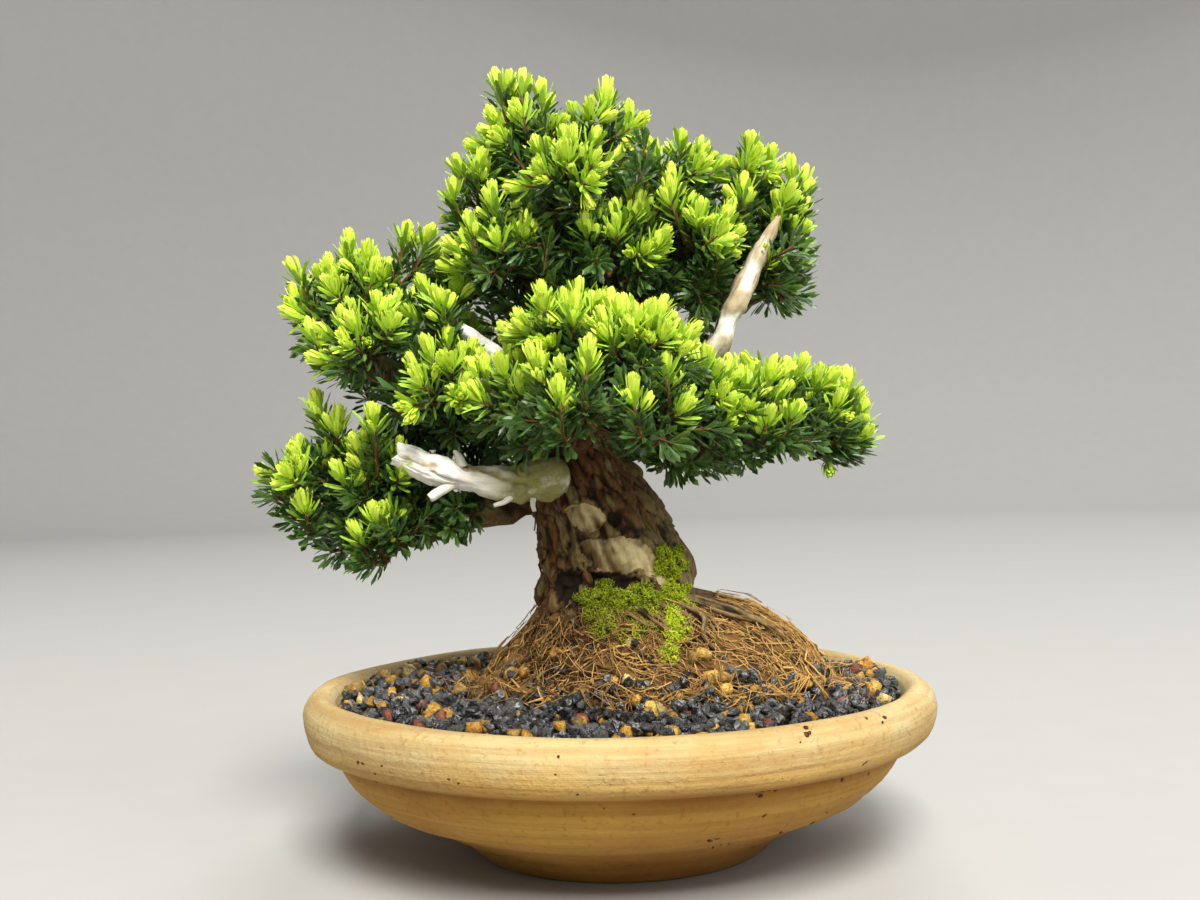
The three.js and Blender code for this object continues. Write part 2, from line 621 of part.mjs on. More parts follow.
/** A shoot, with needles raised from the faces of its last stretch where there is room for them. */
function shootGeometry(points, crowd, owner) {
  const core = shootCore(points);
  const position = core.attributes.position;
  const corners = [];
  for (let i = 0; i < position.count; i += 1) {
    corners.push(new THREE.Vector3().fromBufferAttribute(position, i));
  }
  const [from, to] = points.slice(-2).map(([x, y, z]) => new THREE.Vector3(x, y, z));
  const axis = to.clone().sub(from).normalize();
  const length = from.distanceTo(to);
  const along = (point) => point.clone().sub(from).dot(axis) / length;
  corners.find((corner) => corner.distanceTo(to) < 1e-4).addScaledVector(axis, SHOOT_TIP);
  const faces = [];
  const index = core.index.array;
  const lowest = points.length > 2 ? 0 : 1 / SHOOT_BANDS;
  for (let i = 0; i < index.length; i += 3) {
    const face = [index[i], index[i + 1], index[i + 2]];
    const centre = face.reduce((sum, k) => sum.add(corners[k]), new THREE.Vector3()).multiplyScalar(1 / 3);
    const place = along(centre);
    const levels = face.map((k) => Math.round(along(corners[k]) * SHOOT_BANDS));
    const lowCorners = levels.filter((level) => level === Math.min(...levels)).length;
    const raised = place > 1 || (place > lowest && lowCorners === 1);
    const needle = NEEDLES[Math.min(SHOOT_BANDS, Math.floor(place * SHOOT_BANDS))];
    const apex = raised ? needleTip(centre, from, axis, needle, crowd, owner) : null;
    if (apex) {
      const top = corners.push(apex) - 1;
      faces.push(face[0], face[1], top, face[1], face[2], top, face[2], face[0], top);
    } else {
      faces.push(...face);
    }
  }
  const geometry = new THREE.BufferGeometry().setFromPoints(corners);
  geometry.setIndex(faces);
  return geometry;
}

/** The tip of a needle, as long as its room allows, or null where there is none. */
function needleTip(root, from, axis, needle, crowd, owner) {
  const out = root.clone().sub(from);
  out.addScaledVector(axis, -out.dot(axis)).normalize();
  const angle = THREE.MathUtils.degToRad(needle.angle);
  const direction = out.multiplyScalar(Math.sin(angle)).addScaledVector(axis, Math.cos(angle));
  for (const share of [1, 0.8, 0.62, 0.46]) {
    const rod = {
      from: root.clone().addScaledVector(direction, NEEDLE_WIDTH / 2),
      to: root.clone().addScaledVector(direction, needle.length * share),
      start: NEEDLE_WIDTH * 0.8,
      end: 0.05,
    };
    if (crowd.clearance(rod, owner) > NEEDLE_ROOM) {
      crowd.add(rod, owner);
      return rod.to;
    }
  }
  return null;
}

/** Every spray of foliage, each fused from its shoots and cut clear of the wood. */
function sprayGeometries(woodClearance) {
  const crowd = new Crowd();
  return planSprays(crowd).map(({ name, foot, middle, shoots }) => {
    const rods = shoots.map(({ from, to }, k) => {
      const path = [[...from.toArray(), SHOOT_RADIUS], [...to.toArray(), SHOOT_RADIUS * 1.5]];
      if (from.equals(middle)) path.unshift([...foot.toArray(), TWIG_RADIUS]);
      return solidFrom(shootGeometry(path, crowd, `${name} shoot ${k}`));
    });
    return { name, geometry: geometryFrom(largestBody(wasm.Manifold.union(rods).subtract(woodClearance))) };
  });
}

const CLAY = 0xbd8d4b;
const NET_BLACK = 0x26282a;
const LAVA = 0x2b2c31;
const ROOT_BROWN = 0x8a5527;
const BARK = 0x6b4630;
const YEW_GREEN = 0x5c8f22;

const bonsai = new THREE.Group();
bonsai.add(piece('pot', potGeometry(), CLAY, 0.85));
for (const side of [-1, 1]) {
  const net = piece(side < 0 ? 'drain_net_left' : 'drain_net_right', netGeometry(), NET_BLACK, 0.6);
  net.position.set(side * DRAIN_HOLE_OFFSET, 0, POT_FLOOR + GAP);
  bonsai.add(net);
}

const trunkWood = wasm.Manifold.union([...woodRods(0), ...surfaceRootRods()]);
const woodClearance = wasm.Manifold.union(woodRods(WOOD_GAP));
const rootBall = solidFrom(rootBallGeometry()).subtract(solidFrom(trunkGeometry(WOOD_GAP)));
bonsai.add(piece('gravel', gravelGeometry(), LAVA, 0.7));
bonsai.add(piece('root_ball', geometryFrom(largestBody(rootBall)), ROOT_BROWN, 0.9));
bonsai.add(piece('trunk', geometryFrom(largestBody(trunkWood)), BARK, 0.9));
for (const spray of sprayGeometries(woodClearance)) {
  bonsai.add(piece(spray.name, spray.geometry, YEW_GREEN, 0.5));
}

export default bonsai;
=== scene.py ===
"""A Japanese yew bonsai in a round stoneware pot, dressed for rendering.

Sizes in the classes are millimetres, and a mesh is scaled to metres when it is made. +Z is up, the front
of the tree faces -Y, and the origin is the centre of the pot's flat underside.
"""

import logging
import math
from collections.abc import Mapping, Sequence
from dataclasses import dataclass, field
from enum import Enum

import bmesh
import bpy
import numpy as np
from mathutils import Matrix, Vector, noise
from mathutils.bvhtree import BVHTree

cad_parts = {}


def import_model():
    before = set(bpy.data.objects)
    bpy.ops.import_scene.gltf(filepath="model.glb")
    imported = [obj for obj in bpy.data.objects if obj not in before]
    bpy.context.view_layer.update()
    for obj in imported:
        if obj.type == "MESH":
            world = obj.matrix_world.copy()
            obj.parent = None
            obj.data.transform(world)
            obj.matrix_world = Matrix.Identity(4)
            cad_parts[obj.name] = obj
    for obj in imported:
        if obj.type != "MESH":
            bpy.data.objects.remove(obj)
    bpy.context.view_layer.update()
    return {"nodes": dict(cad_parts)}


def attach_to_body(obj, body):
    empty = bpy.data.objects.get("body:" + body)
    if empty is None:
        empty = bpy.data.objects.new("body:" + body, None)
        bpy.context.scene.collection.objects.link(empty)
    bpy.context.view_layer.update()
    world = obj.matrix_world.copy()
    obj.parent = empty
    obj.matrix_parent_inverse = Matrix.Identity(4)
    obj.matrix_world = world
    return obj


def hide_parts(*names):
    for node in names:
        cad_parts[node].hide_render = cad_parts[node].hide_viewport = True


LOG = logging.getLogger("bonsai")
METRES = 0.001
BODY = "root"
GOLDEN_ANGLE = math.pi * (3 - math.sqrt(5))
TWIG_PAINT = np.array([0.0, 0.5, 0.3])

Colour = tuple[float, float, float]
Point = tuple[float, float, float]
Pair = tuple[float, float]
Shade = np.ndarray | float
Operand = "Value | float"


class Slot(Enum):
    """The material slots."""

    POT = "pot_clay"
    NET = "net_plastic"
    GRAVEL = "lava_gravel"
    ROOTS = "root_fibre"
    WOOD = "yew_wood"
    FOLIAGE = "yew_foliage"


def colour(code: str) -> Colour:
    """A linear colour from a hexadecimal sRGB code.

    Args:
        code: Six hexadecimal digits.

    Returns:
        Red, green and blue from 0 to 1, linear.
    """
    parts = (int(code[i : i + 2], 16) / 255 for i in (0, 2, 4))
    red, green, blue = (p / 12.92 if p <= 0.04045 else ((p + 0.055) / 1.055) ** 2.4 for p in parts)
    return red, green, blue


def unit(vectors: np.ndarray) -> np.ndarray:
    """Vectors scaled to length 1 along their last axis."""
    return vectors / np.maximum(np.linalg.norm(vectors, axis=-1, keepdims=True), 1e-9)


def spread_turns(count: int) -> np.ndarray:
    """Evenly spread angles of a full turn."""
    return np.arange(count) * 2 * np.pi / count


def heading(angles: np.ndarray) -> np.ndarray:
    """The x and y of directions at angles."""
    return np.stack([np.cos(angles), np.sin(angles)], -1)


def smoothstep(low: float, high: float, values: np.ndarray) -> np.ndarray:
    """0 at low, 1 at high and a smooth turn between them."""
    share = np.clip((values - low) / (high - low), 0, 1)
    return share * share * (3 - 2 * share)


class Value:
    """A shader socket. Python's operators add Math nodes to it."""

    def __init__(self, graph: "Graph", socket: bpy.types.NodeSocket) -> None:
        """Keeps the socket and the graph that it belongs to."""
        self.graph = graph
        self.socket = socket

    def math(self, operation: str, left: Operand, right: Operand = 0.0) -> "Value":
        """The result of a Math node that is added for two values."""
        return self.graph.node("ShaderNodeMath", {"operation": operation}, {0: left, 1: right})

    def __add__(self, other: Operand) -> "Value":
        """self + other."""
        return self.math("ADD", self, other)

    def __sub__(self, other: Operand) -> "Value":
        """self - other."""
        return self.math("SUBTRACT", self, other)

    def __rsub__(self, other: Operand) -> "Value":
        """other - self."""
        return self.math("SUBTRACT", other, self)

    def __mul__(self, other: Operand) -> "Value":
        """self * other."""
        return self.math("MULTIPLY", self, other)

    def __gt__(self, other: Operand) -> "Value":
        """1 where self is above other, or 0."""
        return self.math("GREATER_THAN", self, other)

    __radd__ = __add__
    __rmul__ = __mul__


class Graph:
    """The node graph of one material."""

    def __init__(self, name: str) -> None:
        """Starts an empty material."""
        self.material = bpy.data.materials.new(name)
        self.material.use_nodes = True
        self.tree = self.material.node_tree
        self.tree.nodes.clear()
        self.place = self.node("ShaderNodeTexCoord", output="Object")

    def node(
        self,
        kind: str,
        settings: Mapping[str, object] | None = None,
        sockets: Mapping[int | str, object] | None = None,
        output: int | str = 0,
    ) -> Value:
        """Adds a node of any type.

        Args:
            kind: The node's type.
            settings: Its settings, set first. "stops" gives a ramp's stops as (place, colour).
            sockets: The value or link of each input socket.
            output: The output socket that is returned.

        Returns:
            The node's output.
        """
        made = self.tree.nodes.new(kind)
        for key, setting in (settings or {}).items():
            if key == "stops":
                ramp = made.color_ramp
                while len(ramp.elements) < len(setting):
                    ramp.elements.new(0.5)
                for element, (place, shade) in zip(ramp.elements, setting):
                    element.position = place
                    element.color = (*shade, 1.0)
            else:
                setattr(made, key, setting)
        for key, value in (sockets or {}).items():
            if isinstance(value, Value):
                self.tree.links.new(value.socket, made.inputs[key])
            elif isinstance(value, tuple) and made.inputs[key].type == "RGBA":
                made.inputs[key].default_value = (*value, 1.0)
            else:
                made.inputs[key].default_value = value
        return Value(self, made.outputs[output])

    def axis(self, name: str) -> Value:
        """One coordinate of the surface in metres, named X, Y or Z."""
        return self.node("ShaderNodeSeparateXYZ", sockets={0: self.place}, output=name)

    def stretched(self, stretch: Point) -> Value:
        """The surface's coordinates, each multiplied by its own number."""
        return self.node("ShaderNodeVectorMath", {"operation": "MULTIPLY"}, {0: self.place, 1: stretch})

    def noise(self, scale: float, detail: float = 4.0, stretch: Point = (1.0, 1.0, 1.0)) -> Value:
        """Soft noise round 0.5: scale features in a metre, detail octaves, on stretched coordinates."""
        sockets = {"Vector": self.stretched(stretch), "Scale": scale, "Detail": detail, "Roughness": 0.6}
        return self.node("ShaderNodeTexNoise", sockets=sockets)

    def cells(
        self, scale: float, output: str, feature: str = "F1", stretch: Point = (1.0, 1.0, 1.0)
    ) -> Value:
        """The "Distance" or "Color" of scale cells in a metre, on stretched coordinates."""
        sockets = {"Vector": self.stretched(stretch), "Scale": scale}
        return self.node("ShaderNodeTexVoronoi", {"feature": feature}, sockets, output)

    def remap(self, value: Value, low: float, high: float, start: float = 0.0, end: float = 1.0) -> Value:
        """A value from low to high, turned smoothly into one from start to end."""
        sockets = {0: value, 1: low, 2: high, 3: start, 4: end}
        return self.node("ShaderNodeMapRange", {"interpolation_type": "SMOOTHSTEP"}, sockets)

    def mix(self, share: Operand, first: object, second: object, blend: str = "MIX") -> Value:
        """Two colours mixed, by a share of the second."""
        settings = {"data_type": "RGBA", "blend_type": blend}
        return self.node("ShaderNodeMix", settings, {0: share, 6: first, 7: second}, 2)

    def channels(self, source: Value) -> tuple[Value, Value, Value]:
        """The red, green and blue of a colour."""
        split = self.node("ShaderNodeSeparateColor", sockets={0: source}).socket.node
        red, green, blue = (Value(self, split.outputs[k]) for k in range(3))
        return red, green, blue

    def painted(self, name: str) -> Value:
        """A colour that the mesh carries."""
        settings = {"attribute_type": "GEOMETRY", "attribute_name": name}
        return self.node("ShaderNodeAttribute", settings, output="Color")

    def bump(self, height: Value, depth: float, strength: float = 1.0) -> Value:
        """A normal from a height, with the depth in millimetres of its full range."""
        sockets = {"Height": height, "Distance": depth * METRES, "Strength": strength}
        return self.node("ShaderNodeBump", sockets=sockets, output="Normal")

    def close(self, **sockets: object) -> bpy.types.Material:
        """Ends the graph in a Principled shader.

        Args:
            sockets: The shader's sockets, with _ for a space in a name.

        Returns:
            The material.
        """
        named = {key.replace("_", " "): value for key, value in sockets.items()}
        shader = self.node("ShaderNodeBsdfPrincipled", sockets=named)
        self.tree.links.new(shader.socket, self.tree.nodes.new("ShaderNodeOutputMaterial").inputs["Surface"])
        return self.material


@dataclass(frozen=True)
class Stoneware:
    """Unglazed ochre clay: paler on the rim, with throwing lines, cracks and dark pits, and painted shade
    that turns it browner towards its foot, in the cove under the band and in a low groove.
    """

    body: Colour = colour("bd9342")
    pale: Colour = colour("b8aa7e")
    brown: Colour = colour("85541a")
    pit: Colour = colour("3a2412")

    def material(self) -> bpy.types.Material:
        """The clay's material."""
        g = Graph("stoneware")
        height = g.axis("Z")
        patches = g.remap(g.noise(24, 5), 0.35, 0.68)
        grain = g.noise(900, 6)
        lines = g.noise(1, 5, (18, 18, 700))
        rim = g.remap(height, 0.02, 0.03)
        # Painted shade: the cove under the band is mixed towards brown.
        cove_shade = g.remap(height, 0.0232, 0.0218) * g.remap(height, 0.0185, 0.0212)
        # Painted shade: the body turns darker brown towards its foot.
        low = g.remap(height, 0.018, 0.003)
        shade = g.mix(patches * 0.4 + low * 0.42, self.body, self.brown)
        shade = g.mix(rim * (0.5 + 0.4 * g.remap(g.noise(60, 4), 0.35, 0.65)), shade, self.pale)
        shade = g.mix(cove_shade * g.remap(patches, 0, 1, 0.5, 0.9), shade, self.brown)
        # Painted shade: a soft band of brown in the low groove of the body.
        groove = g.remap(height, 0.0092, 0.0078) * g.remap(height, 0.0055, 0.007)
        shade = g.mix(groove * 0.45, shade, self.brown)
        shade = g.mix(g.remap(lines, 0.36, 0.6, 0.36, 0), shade, self.brown)
        shade = g.mix(g.remap(grain, 0.54, 0.72, 0, 0.45), shade, self.brown)
        pits = self.pits(g)
        shade = g.mix(pits * 0.92, shade, self.pit)
        cracks = self.cracks(g)
        shade = g.mix(cracks * 0.16, shade, self.pit)
        relief = 0.5 * lines + 0.4 * grain + 0.4 * g.noise(160, 5) - 0.9 * pits - 0.2 * cracks
        return g.close(
            Base_Color=shade,
            Roughness=g.remap(grain, 0.3, 0.7, 0.72, 0.92),
            Specular_IOR_Level=0.3,
            Normal=g.bump(relief, 0.8, 0.8),
        )

    def pits(self, g: Graph) -> Value:
        """Small dark pits: a few all over, and more of them low on the front right.

        Args:
            g: The graph that they are drawn in.

        Returns:
            1 in a pit.
        """
        stretch = (1.0, 1.0, 1.6)
        near = g.remap(g.cells(210, "Distance", stretch=stretch), 0.16, 0.1, 0, 1)
        draw, _, _ = g.channels(g.cells(210, "Color", stretch=stretch))
        right = g.remap(g.axis("X"), 0.008, 0.024) * g.remap(g.axis("X"), 0.056, 0.04)
        front = g.remap(g.axis("Y"), -0.005, -0.02) * g.remap(g.axis("Z"), 0.024, 0.02)
        crowded = right * front * g.remap(g.noise(70, 2), 0.45, 0.6)
        return near * (draw > (0.975 - 0.3 * crowded))

    def cracks(self, g: Graph) -> Value:
        """Short, fine drying cracks along the band of the rim.

        Args:
            g: The graph that they are drawn in.

        Returns:
            1 in a crack.
        """
        edge = g.cells(1, "Distance", "DISTANCE_TO_EDGE", (105, 105, 330))
        band = g.remap(g.axis("Z"), 0.022, 0.025) * g.remap(g.axis("Z"), 0.031, 0.028)
        return g.remap(edge, 0.03, 0.0) * band * g.remap(g.noise(150, 3), 0.6, 0.66)


@dataclass(frozen=True)
class NeedleSkin:
    """Needles: their youth, place along the needle and own shade are painted on the mesh as "leaf"."""

    old: Colour = colour("1f3312")
    old_sheen: Colour = colour("446634")
    middle: Colour = colour("97bd2e")
    young: Colour = colour("cae635")
    young_tip: Colour = colour("e4f45c")

    def material(self) -> bpy.types.Material:
        """The needles' material."""
        g = Graph("yew_needles")
        youth, along, draw = g.channels(g.painted("leaf"))
        mature = g.mix(draw, self.old, self.old_sheen)
        tender = g.mix(g.remap(along, 0.25, 1.0), self.young, self.young_tip)
        tender = g.mix(draw * 0.22, tender, self.middle)
        lower = g.remap(youth, 0.0, 0.5)
        upper = g.remap(youth, 0.5, 1.0)
        shade = g.mix(upper, g.mix(lower, mature, self.middle), tender)
        speckle = g.noise(2600, 3)
        shade = g.mix(g.remap(speckle, 0.5, 0.8, 0, 0.14), shade, self.middle)
        return g.close(
            Base_Color=shade,
            Roughness=0.32 + 0.3 * youth + 0.1 * speckle,
            Specular_IOR_Level=0.45,
            Subsurface_Weight=0.16,
            Subsurface_Radius=(0.6, 1.0, 0.2),
            Subsurface_Scale=0.0009,
            Normal=g.bump(speckle, 0.05, 0.5),
        )


@dataclass(frozen=True)
class Bark:
    """Flaky reddish bark with bare wood where it has died back, painted on the mesh as "bark", and painted
    shade in its crevices and hollows.
    """

    dark: Colour = colour("22160b")
    brown: Colour = colour("74502c")
    grey: Colour = colour("857449")
    orange: Colour = colour("8f5729")
    bare: Colour = colour("d2c08c")
    bare_dark: Colour = colour("5c4421")

    def material(self) -> bpy.types.Material:
        """The bark's material."""
        g = Graph("yew_bark")
        bare, height, draw = g.channels(g.painted("bark"))
        fine = g.noise(1400, 6, (1.0, 1.0, 0.3))
        broad = g.noise(140, 4)
        shade = g.mix(g.remap(draw, 0.35, 0.8), self.brown, self.grey)
        shade = g.mix(g.remap(draw, 0.24, 0.1) * g.remap(broad, 0.45, 0.62), shade, self.orange)
        shade = g.mix(g.remap(fine, 0.38, 0.62, 0.5, 0), shade, self.dark)
        shade = g.mix(g.remap(height, 0.66, 1.0, 0, 0.45), shade, self.grey)
        # Painted shade: the low painted height of the crevices between plates and of the trunk's hollows
        # turns dark.
        shade = g.mix(g.remap(height, 0.5, 0.12), shade, self.dark)
        fibres = g.noise(500, 6, (1.0, 1.0, 0.16))
        wood = g.mix(g.remap(height + 0.5 * fibres, 0.3, 1.15), self.bare_dark, self.bare)
        wood = g.mix(g.remap(g.noise(260, 4), 0.44, 0.66, 0, 0.6), wood, self.bare_dark)
        splits = g.noise(700, 4, (1.0, 1.0, 0.1))
        wood = g.mix(g.remap(splits, 0.42, 0.34) * 0.35, wood, self.dark)
        # Painted shade: bare wood turns dark where its painted height is near 0, as in the hollows.
        wood = g.mix(g.remap(height, 0.12, 0.0), wood, self.dark)
        relief = 0.6 * fine + 0.4 * g.noise(3200, 3)
        return g.close(
            Base_Color=g.mix(g.remap(bare + 0.4 * fine, 0.58, 0.72), shade, wood),
            Roughness=g.remap(fine, 0.3, 0.7, 0.65, 0.95),
            Specular_IOR_Level=0.25,
            Normal=g.bump(relief, 0.28, 0.9),
        )


@dataclass(frozen=True)
class DeadWood:
    """Bleached dead wood: pale grey-white fibres, olive near its root, painted on the mesh as "wood"."""

    pale: Colour = colour("f6f3e8")
    grey: Colour = colour("b9b39a")
    tan: Colour = colour("9a8150")
    olive: Colour = colour("908c50")

    def material(self) -> bpy.types.Material:
        """The dead wood's material."""
        g = Graph("bleached_wood")
        rooted, height, draw = g.channels(g.painted("wood"))
        fine = g.noise(1500, 5)
        shade = g.mix(g.remap(height, 0.45, 0.1), self.pale, self.grey)
        shade = g.mix(g.remap(draw, 0.45, 1.0, 0, 0.85), shade, self.tan)
        shade = g.mix(rooted * g.remap(g.noise(260, 4), 0.2, 0.48, 0.35, 1.0), shade, self.olive)
        shade = g.mix(g.remap(fine, 0.58, 0.75, 0, 0.4), shade, self.tan)
        return g.close(
            Base_Color=shade,
            Roughness=g.remap(fine, 0.3, 0.7, 0.6, 0.85),
            Specular_IOR_Level=0.3,
            Normal=g.bump(fine + 0.6 * g.noise(4200, 3), 0.16, 0.8),
        )


@dataclass(frozen=True)
class Stone:
    """Grains whose own colour is painted on the mesh as "grain"."""

    name: str
    roughness: float
    shine: float
    pores: float
    sooty: Colour = (0.012, 0.011, 0.012)
    hollow: Colour = (0.02, 0.017, 0.015)

    def material(self) -> bpy.types.Material:
        """The grains' material."""
        g = Graph(self.name)
        own = g.painted("grain")
        mottle = g.noise(1100, 5)
        pores = g.cells(2600, "Distance")
        shade = g.mix(g.remap(mottle, 0.35, 0.7, 0.5, 0), own, self.sooty, "MULTIPLY")
        shade = g.mix(g.remap(pores, 0.3, 0.12, 0, 0.35), shade, self.hollow)
        relief = mottle + 0.7 * g.remap(pores, 0.1, 0.45)
        return g.close(
            Base_Color=shade,
            Roughness=g.remap(mottle, 0.3, 0.7, self.roughness, self.roughness + 0.3),
            Specular_IOR_Level=self.shine,
            Normal=g.bump(relief, self.pores, 0.9),
        )


@dataclass(frozen=True)
class Fibre:
    """Roots and the peat that they hold, with each root's shade painted on the mesh as "root": its own tone,
    and on the fine roots painted light as well.
    """

    name: str
    dark: Colour
    light: Colour

    def material(self) -> bpy.types.Material:
        """The roots' material."""
        g = Graph(self.name)
        draw, _, _ = g.channels(g.painted("root"))
        mottle = g.noise(700, 5)
        shade = g.mix(g.remap(draw * 0.8 + mottle * 0.4, 0.1, 1.1), self.dark, self.light)
        return g.close(
            Base_Color=shade,
            Roughness=g.remap(mottle, 0.3, 0.7, 0.7, 0.95),
            Specular_IOR_Level=0.25,
            Normal=g.bump(mottle + 0.6 * g.noise(2800, 4), 0.3, 0.9),
        )


@dataclass(frozen=True)
class MossSkin:
    """Moss: each shoot's own shade and the place along its leaves are painted on the mesh as "moss"."""

    deep: Colour = colour("2f370b")
    bright: Colour = colour("a8b81e")
    tip: Colour = colour("cbdc40")

    def material(self) -> bpy.types.Material:
        """The moss's material."""
        g = Graph("moss")
        along, draw, _ = g.channels(g.painted("moss"))
        shade = g.mix(g.remap(along * 0.7 + draw * 0.5, 0.15, 0.85), self.deep, self.bright)
        shade = g.mix(g.remap(along, 0.6, 1.0, 0, 0.5) * draw, shade, self.tip)
        fine = g.noise(3500, 3)
        return g.close(
            Base_Color=g.mix(g.remap(fine, 0.5, 0.8, 0, 0.3), shade, self.deep),
            Roughness=g.remap(fine, 0.3, 0.7, 0.6, 0.85),
            Specular_IOR_Level=0.25,
            Normal=g.bump(fine, 0.05, 0.5),
        )


@dataclass(frozen=True)
class NetPlastic:
    """Black moulded plastic with a faint grain and dust."""

    black: Colour = colour("1d1f20")
    dust: Colour = colour("4a453c")

    def material(self) -> bpy.types.Material:
        """The plastic's material."""
        g = Graph("net_plastic")
        grain = g.noise(900, 5)
        return g.close(
            Base_Color=g.mix(g.remap(grain, 0.5, 0.75, 0, 0.5), self.black, self.dust),
            Roughness=g.remap(grain, 0.3, 0.7, 0.4, 0.65),
            Normal=g.bump(grain, 0.08, 0.6),
        )


@dataclass(frozen=True)
class Paper:
    """The seamless pale floor."""

    tone: Colour = colour("a5a4a1")
    fleck: Colour = (0.5, 0.49, 0.47)

    def material(self) -> bpy.types.Material:
        """The floor's material."""
        g = Graph("pale_floor")
        grain = g.noise(40, 3)
        shade = g.mix(g.remap(grain, 0.3, 0.7, 0, 0.06), self.tone, self.fleck)
        return g.close(Base_Color=shade, Roughness=0.9, Specular_IOR_Level=0.1)


@dataclass
class Shell:
    """Corners, faces and painted colours of a mesh, gathered in millimetres before it is made."""

    paint: str
    corners: list[np.ndarray] = field(default_factory=list)
    faces: list[np.ndarray] = field(default_factory=list)
    colours: list[np.ndarray] = field(default_factory=list)
    count: int = 0

    def add(self, corners: np.ndarray, faces: Sequence[np.ndarray], colours: np.ndarray) -> None:
        """Adds corners with their colours, and faces that number these corners from 0.

        Args:
            corners: Places, of shape (n, 3).
            faces: Arrays of faces, each with one number of corners a face.
            colours: Painted values, of shape (n, 3).
        """
        self.corners.append(corners.reshape(-1, 3))
        self.faces.extend(f + self.count for f in faces)
        self.colours.append(colours.reshape(-1, 3))
        self.count += len(self.corners[-1])

    def wrap(self, rings: np.ndarray, poles: Sequence[Sequence[float]], colours: np.ndarray) -> None:
        """Adds a closed body of rings of shape (rings, sides, 3), between two poles."""
        corners = np.concatenate([rings.reshape(-1, 3), np.asarray(poles, float)])
        self.add(corners, ring_faces(*rings.shape[:2]), np.broadcast_to(colours, corners.shape))

    def make(self, name: str, material: bpy.types.Material, smooth: bool = True) -> bpy.types.Object:
        """Makes the mesh object.

        Args:
            name: The piece's name.
            material: Its material.
            smooth: Whether it is shaded smooth.

        Returns:
            The object, linked to the scene.
        """
        mesh = bpy.data.meshes.new(name)
        places = np.concatenate(self.corners) * METRES
        mesh.vertices.add(len(places))
        mesh.vertices.foreach_set("co", places.astype(np.float32).ravel())
        loops = np.concatenate([f.ravel() for f in self.faces]).astype(np.int32)
        sizes = np.concatenate([np.full(len(f), f.shape[1]) for f in self.faces])
        starts = np.concatenate([[0], np.cumsum(sizes)[:-1]]).astype(np.int32)
        mesh.loops.add(len(loops))
        mesh.loops.foreach_set("vertex_index", loops)
        mesh.polygons.add(len(sizes))
        mesh.polygons.foreach_set("loop_start", starts)
        mesh.polygons.foreach_set("use_smooth", np.full(len(sizes), smooth))
        mesh.update(calc_edges=True)
        mesh.validate()
        values = np.clip(np.concatenate(self.colours), 0, 1)
        layer = mesh.color_attributes.new(self.paint, "FLOAT_COLOR", "POINT")
        full = np.concatenate([values, np.ones((len(values), 1))], axis=1)
        layer.data.foreach_set("color", full.astype(np.float32).ravel())
        mesh.materials.append(material)
        made = bpy.data.objects.new(name, mesh)
        bpy.context.scene.collection.objects.link(made)
        return made


def ring_faces(rings: int, sides: int) -> tuple[np.ndarray, np.ndarray]:
    """Faces of a closed rod of rings, whose last two corners are the middles of its ends.

    Args:
        rings: How many rings it has.
        sides: Corners in a ring.

    Returns:
        Its quads and its triangles.
    """
    ring, side = np.meshgrid(np.arange(rings - 1), np.arange(sides), indexing="ij")
    after = (side + 1) % sides
    this, upper = ring * sides, (ring + 1) * sides
    quads = np.stack([this + side, this + after, upper + after, upper + side], -1)
    around = np.arange(sides)
    beyond = (around + 1) % sides
    last = (rings - 1) * sides
    foot = np.stack([np.full(sides, rings * sides), beyond, around], -1)
    head = np.stack([np.full(sides, rings * sides + 1), last + around, last + beyond], -1)
    return quads.reshape(-1, 4), np.concatenate([foot, head])


def repeated(faces: np.ndarray, copies: int, step: int) -> np.ndarray:
    """The same faces for many copies, each step corners after the one before."""
    return (faces[None] + (np.arange(copies) * step)[:, None, None]).reshape(-1, faces.shape[1])


